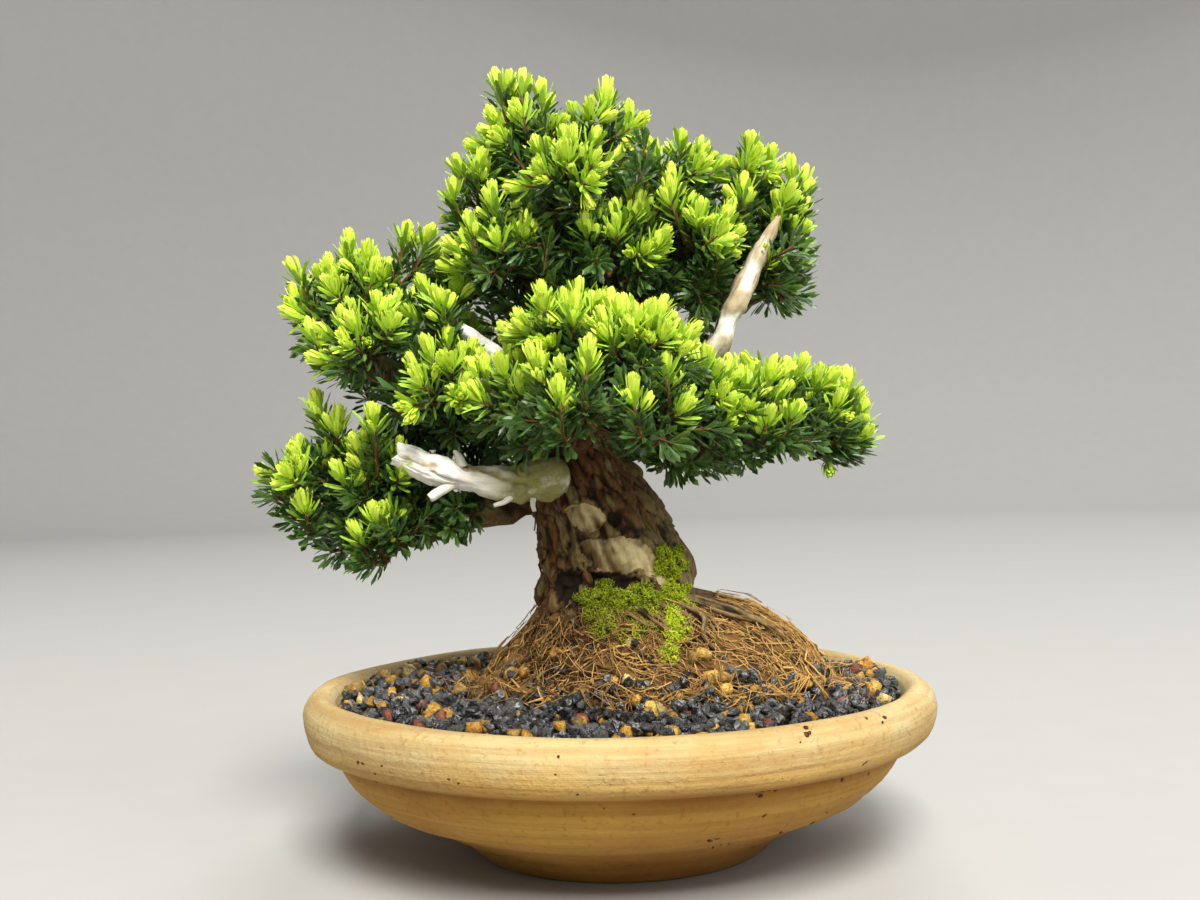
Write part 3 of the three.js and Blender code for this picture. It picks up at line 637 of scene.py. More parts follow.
@dataclass
class Rods:
    """Many round rods along paths with the same number of points."""

    paths: np.ndarray
    radii: np.ndarray
    sides: int

    def __post_init__(self) -> None:
        """Works out the outward direction at each corner, carried along each rod without twist."""
        tangents = unit(np.gradient(self.paths, axis=1))
        side = np.where(np.abs(tangents[:, 0, :1]) > 0.9, [[0.0, 1.0, 0.0]], [[1.0, 0.0, 0.0]])
        angles = spread_turns(self.sides)
        outward = []
        for k in range(self.paths.shape[1]):
            tangent = tangents[:, k]
            side = unit(side - np.sum(side * tangent, -1, keepdims=True) * tangent)
            across = np.cross(tangent, side)
            turned = [v[:, None] * f(angles)[None, :, None] for v, f in ((side, np.cos), (across, np.sin))]
            outward.append(turned[0] + turned[1])
        self.tangents = tangents
        self.outward = np.stack(outward, 1)
        lengths = np.linalg.norm(np.diff(self.paths, axis=1), axis=-1)
        self.along = np.concatenate([np.zeros((len(lengths), 1)), np.cumsum(lengths, 1)], 1)

    def surface(self) -> np.ndarray:
        """The corners on the rods' plain surface, of shape (rods, rings, sides, 3)."""
        return self.paths[:, :, None] + self.outward * self.radii[:, :, None, None]

    def unrolled(self, girth: float, twist: float = 0.0) -> np.ndarray:
        """The same corners on a straight rod of one radius, for patterns that follow the grain.

        Args:
            girth: The straight rod's radius.
            twist: How far the grain turns in a millimetre, in radians.

        Returns:
            Places of shape (rods, rings, sides, 3).
        """
        angles = spread_turns(self.sides) + twist * self.along[:, :, None]
        height = np.broadcast_to(self.along[:, :, None], angles.shape)
        return np.stack([np.cos(angles) * girth, np.sin(angles) * girth, height], -1)

    def pour(
        self,
        shell: Shell,
        colours: np.ndarray,
        relief: np.ndarray | float = 0.0,
        shift: np.ndarray | float = 0.0,
    ) -> None:
        """Adds the rods to a shell.

        Args:
            shell: Where they go.
            colours: Painted values that broadcast to (rods, rings, sides, 3).
            relief: How far each corner stands out, in millimetres.
            shift: How far each corner is moved.
        """
        rods, rings = self.radii.shape
        places = self.surface() + self.outward * np.asarray(relief)[..., None] + shift
        painted = np.broadcast_to(colours, places.shape)
        corners = np.concatenate([places.reshape(rods, -1, 3), self.paths[:, [0, -1]]], 1)
        values = np.concatenate([painted.reshape(rods, -1, 3), painted[:, [0, -1]].mean(2)], 1)
        faces = [repeated(f, rods, rings * self.sides + 2) for f in ring_faces(rings, self.sides)]
        shell.add(corners, faces, values)


def segment_distance(flat: np.ndarray, starts: np.ndarray, ends: np.ndarray) -> np.ndarray:
    """How far places in a plane are from the nearest of several segments.

    Args:
        flat: The places, of shape (..., 2).
        starts: Where each segment starts.
        ends: Where it ends.

    Returns:
        One distance for each place.
    """
    steps = ends - starts
    offsets = flat[..., None, :] - starts
    share = np.clip((offsets * steps).sum(-1) / (steps**2).sum(-1), 0, 1)
    return np.linalg.norm(offsets - share[..., None] * steps, axis=-1).min(-1)


def path_distance(flat: np.ndarray, points: Sequence[Sequence[float]]) -> np.ndarray:
    """How far places in a plane are from a line through points."""
    corners = np.asarray(points, float)
    return segment_distance(flat, corners[:-1], corners[1:])


def outline_distance(flat: np.ndarray, points: Sequence[Sequence[float]]) -> np.ndarray:
    """How far places in a plane are outside a closed outline.

    Args:
        flat: The places, of shape (..., 2).
        points: The outline's corners.

    Returns:
        One distance for each place, below zero inside.
    """
    starts = np.asarray(points, float)
    ends = np.roll(starts, -1, 0)
    x, z = flat[..., :1], flat[..., 1:]
    crossed = (starts[:, 1] > z) != (ends[:, 1] > z)
    rise = np.where(ends[:, 1] == starts[:, 1], 1e-9, ends[:, 1] - starts[:, 1])
    at = starts[:, 0] + (z - starts[:, 1]) * (ends[:, 0] - starts[:, 0]) / rise
    inside = (crossed & (x < at)).sum(-1) % 2 == 1
    return segment_distance(flat, starts, ends) * np.where(inside, -1, 1)


def smooth_path(points: Sequence[Sequence[float]], stops: np.ndarray) -> np.ndarray:
    """A smooth path through points [x, y, z, radius].

    Args:
        points: The points that it passes.
        stops: Where it is read, from 0 to 1.

    Returns:
        [x, y, z, radius] at each stop.
    """
    given = np.asarray(points, float)
    places = np.vstack([2 * given[0, :3] - given[1, :3], given[:, :3], 2 * given[-1, :3] - given[-2, :3]])
    last = len(given) - 1
    at = np.clip(stops, 0, 1) * last
    start = np.minimum(at.astype(int), last - 1)
    share = (at - start)[:, None]
    before, here, there, after = (places[start + k] for k in range(4))
    spans = ((before, here), (here, there), (there, after))
    back, gap, on = (np.sqrt(np.linalg.norm(b - a, axis=1, keepdims=True)) for a, b in spans)
    leave = gap * ((here - before) / back - (there - before) / (back + gap) + (there - here) / gap)
    arrive = gap * ((there - here) / gap - (after - here) / (gap + on) + (after - there) / on)
    place = (
        here
        + leave * share
        + (3 * there - 3 * here - 2 * leave - arrive) * share**2
        + (2 * here - 2 * there + leave + arrive) * share**3
    )
    radius = given[start, 3:] * (1 - share) + given[start + 1, 3:] * share
    return np.concatenate([place, radius], 1)


def one_rod(points: Sequence[Sequence[float]], stops: np.ndarray, sides: int) -> Rods:
    """A single rod along a smooth path."""
    path = smooth_path(points, stops)
    return Rods(path[None, :, :3], path[None, :, 3], sides)


def noise_at(points: np.ndarray, size: Sequence[float], octaves: int = 3) -> np.ndarray:
    """Fractal noise.

    Args:
        points: Where it is read, of shape (..., 3).
        size: The size of its features along each axis.
        octaves: How many octaves it has.

    Returns:
        Values of about -1 to 1.
    """
    scaled = (points / np.asarray(size, float)).reshape(-1, 3)
    values = [noise.fractal(Vector(p), 1.0, 2.0, octaves) for p in scaled]
    return np.asarray(values).reshape(points.shape[:-1])


def random_turns(random: np.random.Generator, count: int) -> np.ndarray:
    """Evenly spread random rotations.

    Args:
        random: The source of the draws.
        count: How many there are.

    Returns:
        Matrices of shape (count, 3, 3).
    """
    w, x, y, z = unit(random.normal(size=(count, 4))).T
    rows = [
        [1 - 2 * (y * y + z * z), 2 * (x * y - w * z), 2 * (x * z + w * y)],
        [2 * (x * y + w * z), 1 - 2 * (x * x + z * z), 2 * (y * z - w * x)],
        [2 * (x * z - w * y), 2 * (y * z + w * x), 1 - 2 * (x * x + y * y)],
    ]
    return np.moveaxis(np.asarray(rows), -1, 0)


TRUNK_PATH = (
    *((2, 0, 33, 14.2), (1, 0, 41, 15.2), (0, 0, 48, 15)),
    *((-2, 0, 57, 13.4), (-5, 0, 67, 12.2), (-9, 1, 77, 10.4)),
    *((-12, 2, 87, 8), (-13, 1, 99, 6.2), (-12, 0, 113, 4.8), (-10, 0, 126, 3.4), (-9, 0, 136, 2.2)),
)
# Low left, middle left, front and its fork, right, upper right and its fork, upper left, back and its forks.
LIMB_PATHS = (
    ((-8, 2, 71.5, 6), (-20, 1, 68.4, 4.1), (-31, -1, 64.6, 3.0), (-42, -3, 61.6, 2.4), (-52, -4, 63, 2)),
    ((-12, 1, 84, 5), (-22, -3, 87, 4), (-34, -8, 86, 3.2), (-43, -10, 93, 2.6), (-49, -8, 101, 1.9)),
    ((-8, -3, 80, 5.4), (-7, -14, 82, 4), (-5, -23, 83, 3), (0, -29, 84, 2)),
    ((-6, -15, 82, 3.2), (-10, -21, 83, 2.3), (-12.4, -26, 84, 1.7)),
    ((-6, 0, 78, 5.6), (8, -5, 80, 4), (20, -9, 79.4, 2.7), (31, -9, 78.4, 2.1), (39, -9, 77.6, 1.7)),
    ((-12, 1, 98, 4.6), (-2, 1, 107, 3.6), (10, 1, 114, 3), (20, 1, 119, 2.4), (28, 2, 122, 1.8)),
    ((6, 1, 111, 3), (17, 6, 109, 2.3), (27, 9, 107.5, 1.7)),
    ((-12, 0, 108, 3.6), (-17, 0, 115, 2.6), (-21, 0, 121, 1.9)),
    ((-9, 4, 82, 5.4), (-6, 14, 87, 4), (-1, 23, 88, 3), (3, 28, 87, 2)),
    ((-11, 4, 90, 4.4), (-21, 13, 92, 3.2), (-31, 18, 93, 2.2)),
    ((-6, 6, 80, 4.6), (9, 14, 81, 3.4), (22, 16, 80, 2.6), (32, 12, 79, 1.9)),
)


@dataclass
class Pot:
    """The turned pot: a bowl on a flat foot, with a band round its rim and two drain holes."""

    outside: Sequence[Pair] = (
        *((27.6, 0.0), (28.7, 0.3), (29.5, 1.1), (31.0, 2.5)),
        *((33.8, 4.8), (37.4, 6.5), (41.2, 8.8), (46.2, 10.8)),
        *((48.4, 11.9), (49.4, 12.9), (51.9, 15.0), (54.0, 17.7), (54.8, 19.7), (55.0, 20.8), (55.8, 21.7)),
        *((58.8, 22.2), (60.4, 23.3), (61.3, 25.4), (61.8, 28.0), (61.4, 30.0), (60.3, 31.4), (58.8, 32.0)),
        *((57.3, 31.9), (56.3, 31.3)),
    )
    inside: Sequence[Pair] = (
        *((55.8, 30.4), (54.9, 27.6), (53.3, 24.2), (51.2, 20.9), (48.2, 16.8), (44.8, 13.3), (39.8, 9.7)),
        *((34.4, 7.1), (31.0, 5.8), (27.0, 5.3), (18.0, 5.2), (9.0, 5.2)),
    )
    underside: Sequence[Pair] = ((9.0, 0.0), (18.0, 0.0), (25.0, 0.0))
    floor: float = 5.2
    hole_radius: float = 4.5
    hole_offset: float = 14.0
    hole_sides: int = 40
    spots: Sequence[tuple[float, float, int, float, float, float]] = (
        *((-65, 21.6, 9, 2.2, 0.5, 0.7), (-66, 18, 4, 1.4, 1.8, 0.65), (-48, 21.6, 6, 1.3, 0.8, 0.75)),
        *((-73, 12.8, 4, 1.6, 0.5, 0.65), (-68, 10, 5, 1.6, 0.8, 0.7), (-57, 11.2, 3, 1.2, 1.2, 0.6)),
        *((-130, 24, 3, 3, 2.5, 0.6), (-140, 21.4, 5, 2.4, 0.4, 0.7), (-50, 30.5, 6, 8, 0.8, 0.7)),
        *((-95, 27.5, 3, 4, 2, 0.4), (-118, 24.5, 4, 8, 0.5, 0.4)),
    )
    lone_spots: int = 34
    lone_size: float = 0.4
    spot_sides: int = 8
    spot_tone: Colour = colour("63391d")
    segments: int = 168
    rings: int = 104

    def profile(self) -> np.ndarray:
        """Radius and height along the section, smoothed and evenly spaced."""
        points = [*self.underside, *self.outside, *self.inside]
        flat = [(radius, 0.0, height, 0.0) for radius, height in points]
        path = smooth_path(flat, np.linspace(0, 1, 40 * len(flat)))[:, [0, 2]]
        lengths = np.concatenate([[0], np.cumsum(np.linalg.norm(np.diff(path, axis=0), axis=1))])
        stops = np.linspace(0, lengths[-1], self.rings)
        return np.stack([np.interp(stops, lengths, path[:, k]) for k in range(2)], -1)

    def build(self) -> bpy.types.Object:
        """Makes the pot, a little uneven as if thrown by hand, and drills its drain holes."""
        profile = self.profile()
        angles = spread_turns(self.segments)
        radius = profile[:, None, 0]
        height = np.broadcast_to(profile[:, None, 1], (self.rings, self.segments))
        around = heading(angles)
        base = np.concatenate([around[None] * radius[..., None], height[..., None]], -1)
        rise = smoothstep(0.6, 9, height)
        wobble = noise_at(base, (34, 34, 26), 2) * 0.5 + noise_at(base, (9, 9, 4), 3) * 0.16
        lines = 0.05 * np.sin(height * 5.1 + 1.5 * np.sin(angles * 2)) + 0.05 * np.sin(height * 9.7)
        out = rise * (wobble + lines)
        lift = smoothstep(20, 31, height) * noise_at(base, (45, 45, 60), 2) * 0.45
        places = np.concatenate([around[None] * (radius + out)[..., None], (height + lift)[..., None]], -1)
        shell = Shell("clay")
        shell.wrap(places, ((0, 0, 0), (0, 0, self.floor)), np.ones(3))
        made = shell.make("pot_thrown", Stoneware().material())
        self.drill(made)
        return made

    def specks(self, made: bpy.types.Object) -> bpy.types.Object:
        """Makes the dark iron spots and nicks that lie in the clay.

        Args:
            made: The pot.

        Returns:
            The spots, in one piece.
        """
        random = np.random.default_rng(8)
        tree = BVHTree.FromObject(made, bpy.context.evaluated_depsgraph_get())
        lone = [
            (random.uniform(-180, 180), random.uniform(3, 30), 1, 0, 0, self.lone_size)
            for _ in range(self.lone_spots)
        ]
        shell = Shell("grain")
        turn = heading(spread_turns(self.spot_sides))
        caps = ring_faces(1, self.spot_sides)[1]
        for bearing, height, count, aside, above, size in (*self.spots, *lone):
            for _ in range(count):
                angle = math.radians(random.normal(bearing, aside))
                ray = Vector((math.cos(angle), math.sin(angle), 0))
                start = ray * 0.1 + Vector((0, 0, random.normal(height, above) * METRES))
                place, normal, _, _ = tree.ray_cast(start, -ray)
                if place is None:
                    continue
                up, centre = np.array(normal), np.array(place) / METRES
                side = unit(np.cross(up, [0.0, 0.0, 1.0]) + random.normal(0, 0.35, 3))
                over = np.cross(up, side)
                wide = size * random.uniform(0.6, 1.25) * np.array([1.0, random.uniform(0.3, 0.9)])
                ragged = random.uniform(0.75, 1.2, (self.spot_sides, 1))
                ring = side * turn[:, :1] * wide[0] + over * turn[:, 1:] * wide[1]
                corners = [*(centre + ring * ragged - up * 0.03), centre - up * 0.1, centre + up * 0.06]
                shade = np.array(self.spot_tone) * random.uniform(0.6, 1.5)
                shell.add(np.array(corners), [caps], np.broadcast_to(shade, (len(corners), 3)))
        return shell.make("iron_spots", Stone("iron_spots", 0.6, 0.3, 0.3).material())

    def drill(self, made: bpy.types.Object) -> None:
        """Cuts the two drain holes.

        Args:
            made: The pot.
        """
        for side in (-1, 1):
            cut = bmesh.new()
            turned = Matrix.Translation((side * self.hole_offset * METRES, 0, 0))
            size = self.hole_radius * METRES
            bmesh.ops.create_cone(
                cut, cap_ends=True, segments=self.hole_sides,
                radius1=size, radius2=size, depth=0.04, matrix=turned,
            )
            mesh = bpy.data.meshes.new("drill")
            cut.to_mesh(mesh)
            cut.free()
            drill = bpy.data.objects.new("drill", mesh)
            bpy.context.scene.collection.objects.link(drill)
            cutter = made.modifiers.new("hole", "BOOLEAN")
            cutter.operation = "DIFFERENCE"
            cutter.solver = "EXACT"
            cutter.object = drill
            bpy.context.view_layer.update()
            seen = made.evaluated_get(bpy.context.evaluated_depsgraph_get())
            made.data = bpy.data.meshes.new_from_object(seen)
            made.modifiers.clear()
            bpy.data.objects.remove(drill)


class Grain(Enum):
    """The kinds of grain: name, colours, radii in millimetres, roughness, shine, count and corners."""

    LAVA = ("lava_grains", "343434 1c1c1c 4a4a49 292929 585754", (0.85, 1.5), 0.22, 0.75, 3850, 13)
    PEBBLE = (
        *("tan_pebbles", "c0923a cca24e 9c7a3c b68232 d0b676 c0923a ac8440 7a4630"),
        *((1.1, 2.2), 0.5, 0.35, 330, 24),
    )

    def __init__(
        self, label: str, shades: str, radii: Pair, roughness: float, shine: float, count: int, corners: int
    ) -> None:
        """Names the parts of the value."""
        self.label, self.radii, self.count, self.corners = label, radii, count, corners
        self.shades = [np.array(colour(code)) for code in shades.split()]
        self.skin = Stone(label, roughness, shine, 0.3)


@dataclass
class Mound:
    """The root ball: rings of height, centre x, centre y, radius x and radius y."""

    rings: Sequence[tuple[float, float, float, float, float]] = (
        *((11, 8, 1, 26, 21), (29, 9, 1, 35, 28), (32, 8.6, 0, 32.2, 26), (35.6, 7, 0, 28, 23.4)),
        *((39.4, 5.4, 0, 24, 20.8), (43, 4, 0, 20.6, 18.6), (46.6, 2.4, 0, 17.4, 16.6), (48.4, 1, 0, 11, 11)),
    )
    foot: float = 29.0
    top: float = 47.6
    skirt: float = 20.0
    sides: int = 132
    spread: float = 0.12
    heave: float = 0.34

    def ring(self, height: np.ndarray | float) -> list[np.ndarray]:
        """Centre x and y, and radius x and y, at heights."""
        table = np.asarray(self.rings, float)
        return [np.interp(height, table[:, 0], table[:, k]) for k in range(1, 5)]

    def across(self, height: np.ndarray, angle: np.ndarray) -> np.ndarray:
        """Places on the side of the mound, which spreads low on the left and stands higher on the right.

        Args:
            height: Their heights.
            angle: Their bearings in radians.

        Returns:
            Places of shape (..., 3).
        """
        x, y, wide, deep = self.ring(height)
        left = 1 + self.spread * np.maximum(-np.cos(angle), 0) * smoothstep(46, 36, height)
        left = left + self.heave * np.maximum(np.cos(angle), 0) ** 1.5 * smoothstep(30, 42, height)
        return np.stack([x + wide * left * np.cos(angle), y + deep * np.sin(angle), height + 0 * angle], -1)

    def point(self, angle: np.ndarray, depth: np.ndarray) -> np.ndarray:
        """Places on the mound, with depth 0 at its top, 1 at its foot and more out over the gravel.

        Args:
            angle: Bearings in radians.
            depth: How far down the slope each place is.

        Returns:
            Places of shape (..., 3).
        """
        place = self.across(self.top + (self.foot - self.top) * np.minimum(depth, 1), angle)
        place[..., :2] += np.maximum(depth - 1, 0)[..., None] * self.skirt * heading(angle)
        return place

    def build(self) -> bpy.types.Object:
        """Makes the body of peat and matted roots."""
        (under, *_), (crest, *_) = self.rings[0], self.rings[-1]
        heights = np.concatenate([np.linspace(under, 28, 8), np.linspace(28.6, crest, 46)])
        height, angle = np.meshgrid(heights, spread_turns(self.sides), indexing="ij")
        places = self.across(height, angle)
        bare = smoothstep(28.5, 30.5, height)
        lumps = noise_at(places, (6, 6, 6), 4) * 2.0 + noise_at(places, (1.6, 1.6, 1.6), 3) * 0.9
        places[..., :2] += heading(angle) * (bare * (lumps - 0.4))[..., None]
        shade = np.clip(0.35 + 0.4 * np.concatenate([lumps.ravel(), [0, 0]]), 0, 1)
        shell = Shell("root")
        shell.wrap(places, ((8, 1, under), (1, 0, crest)), shade[:, None])
        return shell.make("root_ball_peat", Fibre("peat", colour("27160a"), colour("705026")).material())


@dataclass(frozen=True)
class Strands:
    """A kind of fine root. Pairs are a mean and a spread, but least and most for starts, radii and lifts."""

    count: int
    points: int
    starts: Pair
    radii: Pair
    step: Pair
    turn: float
    lifts: Pair
    shade: Pair


@dataclass
class Gravel:
    """Lava grains and a few tan pebbles, heaped over a dark bed round the root ball."""

    mound: Mound
    level: float = 27.9
    edge: float = 55.2
    shapes: int = 14
    cell: float = 0.5
    rim: float = 42.0
    rim_level: float = 31.0
    segments: int = 120
    heights: np.ndarray = field(init=False)

    def __post_init__(self) -> None:
        """Starts with a level bed and the mound in it."""
        size = int(2 * self.edge / self.cell) + 6
        self.heights = np.full((size, size), self.level)
        place = (np.arange(size) - 2) * self.cell - self.edge
        for height in np.linspace(29, 47, 37):
            x, y, wide, deep = self.mound.ring(height)
            inside = ((place[:, None] - x) / wide) ** 2 + ((place[None] - y) / deep) ** 2 < 1
            self.heights[inside] = height

    def cells(self, spots: np.ndarray) -> tuple[np.ndarray, np.ndarray]:
        """The cells of the height map that places lie in."""
        index = np.clip(((spots + self.edge) / self.cell).astype(int) + 2, 0, len(self.heights) - 1)
        return index[..., 0], index[..., 1]

    def shape(self, random: np.random.Generator, corners: int) -> tuple[np.ndarray, np.ndarray]:
        """One angular stone of about unit radius.

        Args:
            random: The source of its draws.
            corners: How many corners it is made from.

        Returns:
            Its corners and its triangles.
        """
        solid = bmesh.new()
        for place in unit(random.normal(size=(corners, 3))):
            solid.verts.new(place)
        hull = bmesh.ops.convex_hull(solid, input=solid.verts)
        bmesh.ops.delete(solid, geom=list({*hull["geom_interior"], *hull["geom_unused"]}), context="VERTS")
        bmesh.ops.recalc_face_normals(solid, faces=solid.faces)
        solid.verts.index_update()
        places = np.array([v.co for v in solid.verts])
        faces = np.array([[v.index for v in f.verts] for f in solid.faces])
        solid.free()
        return places * random.uniform(0.82, 1.14, (len(places), 1)), faces

    def spots(self, random: np.random.Generator, count: int) -> np.ndarray:
        """Random places inside the pot, nearly all of them outside the root mound.

        Args:
            random: The source of the draws.
            count: How many places there are.

        Returns:
            Places of shape (count, 2).
        """
        found = np.zeros((0, 2))
        x, y, wide, deep = self.mound.ring(29.5)
        while len(found) < count:
            turn = random.uniform(0, 2 * np.pi, count)
            away = np.sqrt(random.uniform(0, 1, count)) * self.edge
            tried = np.stack([away * np.cos(turn), away * np.sin(turn)], -1)
            share = np.hypot((tried[:, 0] - x) / wide, (tried[:, 1] - y) / deep)
            kept = (share > 0.9) | ((share > 0.7) & (random.uniform(0, 1, count) < 0.14))
            found = np.concatenate([found, tried[kept]])
        return found[:count]

    def settle(self, spot: np.ndarray, size: float) -> float:
        """Drops a grain on the heap, and raises the heap under it.

        Args:
            spot: Its place.
            size: Its radius.

        Returns:
            The height of its middle.
        """
        reach = max(1, int(round(size / self.cell)))
        column, row = self.cells(spot)
        column = min(max(column, reach), len(self.heights) - reach - 1)
        row = min(max(row, reach), len(self.heights) - reach - 1)
        patch = self.heights[column - reach : column + reach + 1, row - reach : row + reach + 1]
        middle = float(np.mean(patch) + 0.42 * size)
        middle = min(middle, self.rim_level + 0.4 * size) if math.hypot(*spot) > self.rim else middle
        squares = np.arange(-reach, reach + 1) ** 2
        step = squares[:, None] + squares[None]
        under = step * self.cell**2 < size**2
        dome = middle + np.sqrt(np.maximum(size**2 - step * self.cell**2, 0)) * 0.7
        np.maximum(patch, np.where(under, dome, 0), out=patch)
        return middle

    def grains(self) -> list[bpy.types.Object]:
        """Makes the grains of each kind, dropped in one random order."""
        random = np.random.default_rng(11)
        shapes = {kind: [self.shape(random, kind.corners) for _ in range(self.shapes)] for kind in Grain}
        kinds = [kind for kind in Grain for _ in range(kind.count)]
        spots = self.spots(random, len(kinds))
        turns = random_turns(random, len(kinds))
        shells = {kind: Shell("grain") for kind in Grain}
        for rank, index in enumerate(random.permutation(len(kinds))):
            kind = kinds[index]
            size = random.uniform(*kind.radii)
            spot = spots[rank] * min(1.0, (self.edge - size) / np.hypot(*spots[rank]))
            places, faces = shapes[kind][index % self.shapes]
            corners = (places * random.uniform(0.72, 1.0, 3) * size) @ turns[index].T
            corners += [*spot, self.settle(spot, size)]
            own = kind.shades[int(random.integers(len(kind.shades)))] * random.uniform(0.75, 1.25)
            shells[kind].add(corners, [faces], np.broadcast_to(own, corners.shape))
        return [shell.make(k.label, k.skin.material(), k is Grain.PEBBLE) for k, shell in shells.items()]

    def bed(self) -> bpy.types.Object:
        """Makes the dark bed that the top grains lie on. It fills the pot down to its floor."""
        inside = [(r - 0.3, z + 0.3) for r, z in reversed(Pot().inside) if z < self.level - 1]
        top = [(self.edge - 0.6, self.level - 0.2), *((r, self.level) for r in np.linspace(52, 10, 22))]
        profile = np.array([*inside, *top], float)
        around = heading(spread_turns(self.segments))
        height = np.repeat(profile[:, None, 1], self.segments, 1)
        base = np.concatenate([around[None] * profile[:, None, :1], height[..., None]], -1)
        base[..., 2] += smoothstep(self.level - 0.1, self.level, height) * noise_at(base, (3, 3, 3)) * 0.5
        shell = Shell("grain")
        shell.wrap(base, ((0, 0, inside[0][1]), (0, 0, self.level)), np.array(colour("232021")))
        return shell.make("gravel_bed", Stone("gravel_dust", 0.7, 0.3, 0.5).material())


@dataclass
class FineRoots:
    """Fine brown roots that mat the mound and trail over the gravel."""

    mound: Mound
    gravel: Gravel
    kinds: Sequence[Strands] = (
        Strands(1900, 7, (0.0, 1.04), (0.06, 0.15), (0.01, 0.066), 0.056, (-0.4, 1.0), (0.4, 0.3)),
        Strands(200, 6, (0.0, 0.6), (0.06, 0.12), (0.0, 0.07), 0.06, (0.4, 2.0), (0.5, 0.3)),
        Strands(80, 12, (0.0, 0.7), (0.1, 0.2), (0.04, 0.05), 0.07, (0.0, 1.2), (0.5, 0.28)),
        Strands(12, 12, (0.35, 0.8), (0.2, 0.34), (0.045, 0.045), 0.055, (0.5, 1.7), (0.95, 0.06)),
    )

    def build(self) -> bpy.types.Object:
        """Makes the roots as thin wandering rods that keep close to the mound."""
        random = np.random.default_rng(5)
        shell = Shell("root")
        heart = np.array([5.0, 0.0, 20.0])
        for kind in self.kinds:
            angle = random.uniform(-np.pi, np.pi, kind.count)
            depth = random.uniform(*kind.starts, kind.count)
            slope = random.normal(*kind.step, kind.count)
            drift = random.normal(0, kind.turn, kind.count)
            lift = random.uniform(*kind.lifts, kind.count)
            places = []
            for _ in range(kind.points):
                lift = np.clip(lift + random.normal(0, 0.25, kind.count), -0.3, kind.lifts[1])
                place = self.mound.point(angle, np.clip(depth, 0, 1.3))
                place += unit(place - heart) * lift[:, None]
                heap = self.gravel.heights[self.gravel.cells(place[:, :2])] + 0.2 + 0.3 * lift
                place[:, 2] = np.where(depth > 0.9, np.maximum(place[:, 2], heap), place[:, 2])
                places.append(place)
                drift = 0.2 * drift + random.normal(0, kind.turn, kind.count)
                slope = 0.2 * slope + 0.8 * kind.step[0] + random.normal(0, kind.step[1], kind.count)
                angle, depth = angle + drift, np.maximum(depth + slope, 0.0)
            radii = random.uniform(*kind.radii, kind.count)[:, None] * np.linspace(1, 0.5, kind.points)
            # Painted light: the roots are lighter towards the right of the mound and low on its slope.
            painted_sunlight = 0.4 * smoothstep(-4, 26, places[0][:, 0]) + 0.12 * smoothstep(0.4, 1.0, depth)
            shade = np.clip(random.normal(*kind.shade, kind.count) + painted_sunlight, 0, 1)[:, None, None, None]
            Rods(np.stack(places, 1), radii, 3 if kind.points < 8 else 4).pour(shell, shade)
        return shell.make("fine_roots", Fibre("fine_root", colour("3f250e"), colour("c79c5a")).material())


@dataclass
class WoodyRoots:
    """Old roots that run from the foot of the trunk over the mound: bearing, turn, end height and radius."""

    mound: Mound
    courses: Sequence[tuple[float, float, float, float]] = (
        *((-34, 8, 32.5, 2.1), (-56, -6, 34, 1.8), (-80, 5, 35, 1.5)),
        *((150, -14, 34, 1.8), (72, 9, 34, 1.9), (24, -8, 33, 2.1)),
    )
    strands: Sequence[Point] = ((0, 0.38, 0.5), (-6, 0.26, 0.5), (5, 0.22, 0.4))
    shoulder: float = 44.5

    def path(
        self, bearing: float, turn: float, end: float, radius: float, proud: float
    ) -> list[tuple[float, ...]]:
        """Points of one root, out of the trunk and down the slope.

        Args:
            bearing: Its direction in degrees.
            turn: How far it turns on its way.
            end: The height of its end.
            radius: Its radius at the trunk.
            proud: How far its middle lies above the slope.

        Returns:
            Its points with their radii.
        """
        start = math.radians(bearing)
        points = [
            (5 * math.cos(start), 5 * math.sin(start), 50.0, radius),
            (14.5 * math.cos(start), 14.5 * math.sin(start), 48 + 1.2 * radius, radius),
        ]
        for k in range(4):
            angle = math.radians(bearing + turn * math.sin(k))
            height = self.shoulder + (end + 4 - self.shoulder) * k / 3
            x, y, z = self.mound.across(np.array(height), np.array(angle))
            lift = proud - 0.25 * k + 0.5 * radius * (1 - 0.2 * k)
            thin = radius * (1 - 0.26 * k)
            points.append((x + lift * math.cos(angle), y + lift * math.sin(angle), z + lift, thin))
        return points

    def build(self) -> bpy.types.Object:
        """Makes the roots, each of a few strands with knots and long furrows."""
        shell = Shell("bark")
        for k, (bearing, turn, end, radius) in enumerate(self.courses):
            for aside, share, proud in self.strands:
                wander = turn + aside * (1 if k % 2 else -1)
                course = (bearing + aside, wander, end + abs(aside) * 0.4, radius * share, proud)
                rod = one_rod(self.path(*course), np.linspace(0, 1, 44), 9)
                grain = rod.unrolled(2.0) + 7 * k + aside
                ridges = noise_at(grain, (0.9, 0.9, 6), 3)
                lumps = noise_at(grain, (3, 3, 5), 2)
                values = np.stack([0.12 + 0.3 * lumps, 0.45 + 0.8 * ridges, 0.6 + 0.5 * lumps], -1)
                thick = np.minimum(rod.radii[:, :, None], 1.6)
                rod.pour(shell, values, (0.35 * ridges + 0.3 * lumps) * thick)
        return shell.make("surface_roots", Bark().material())


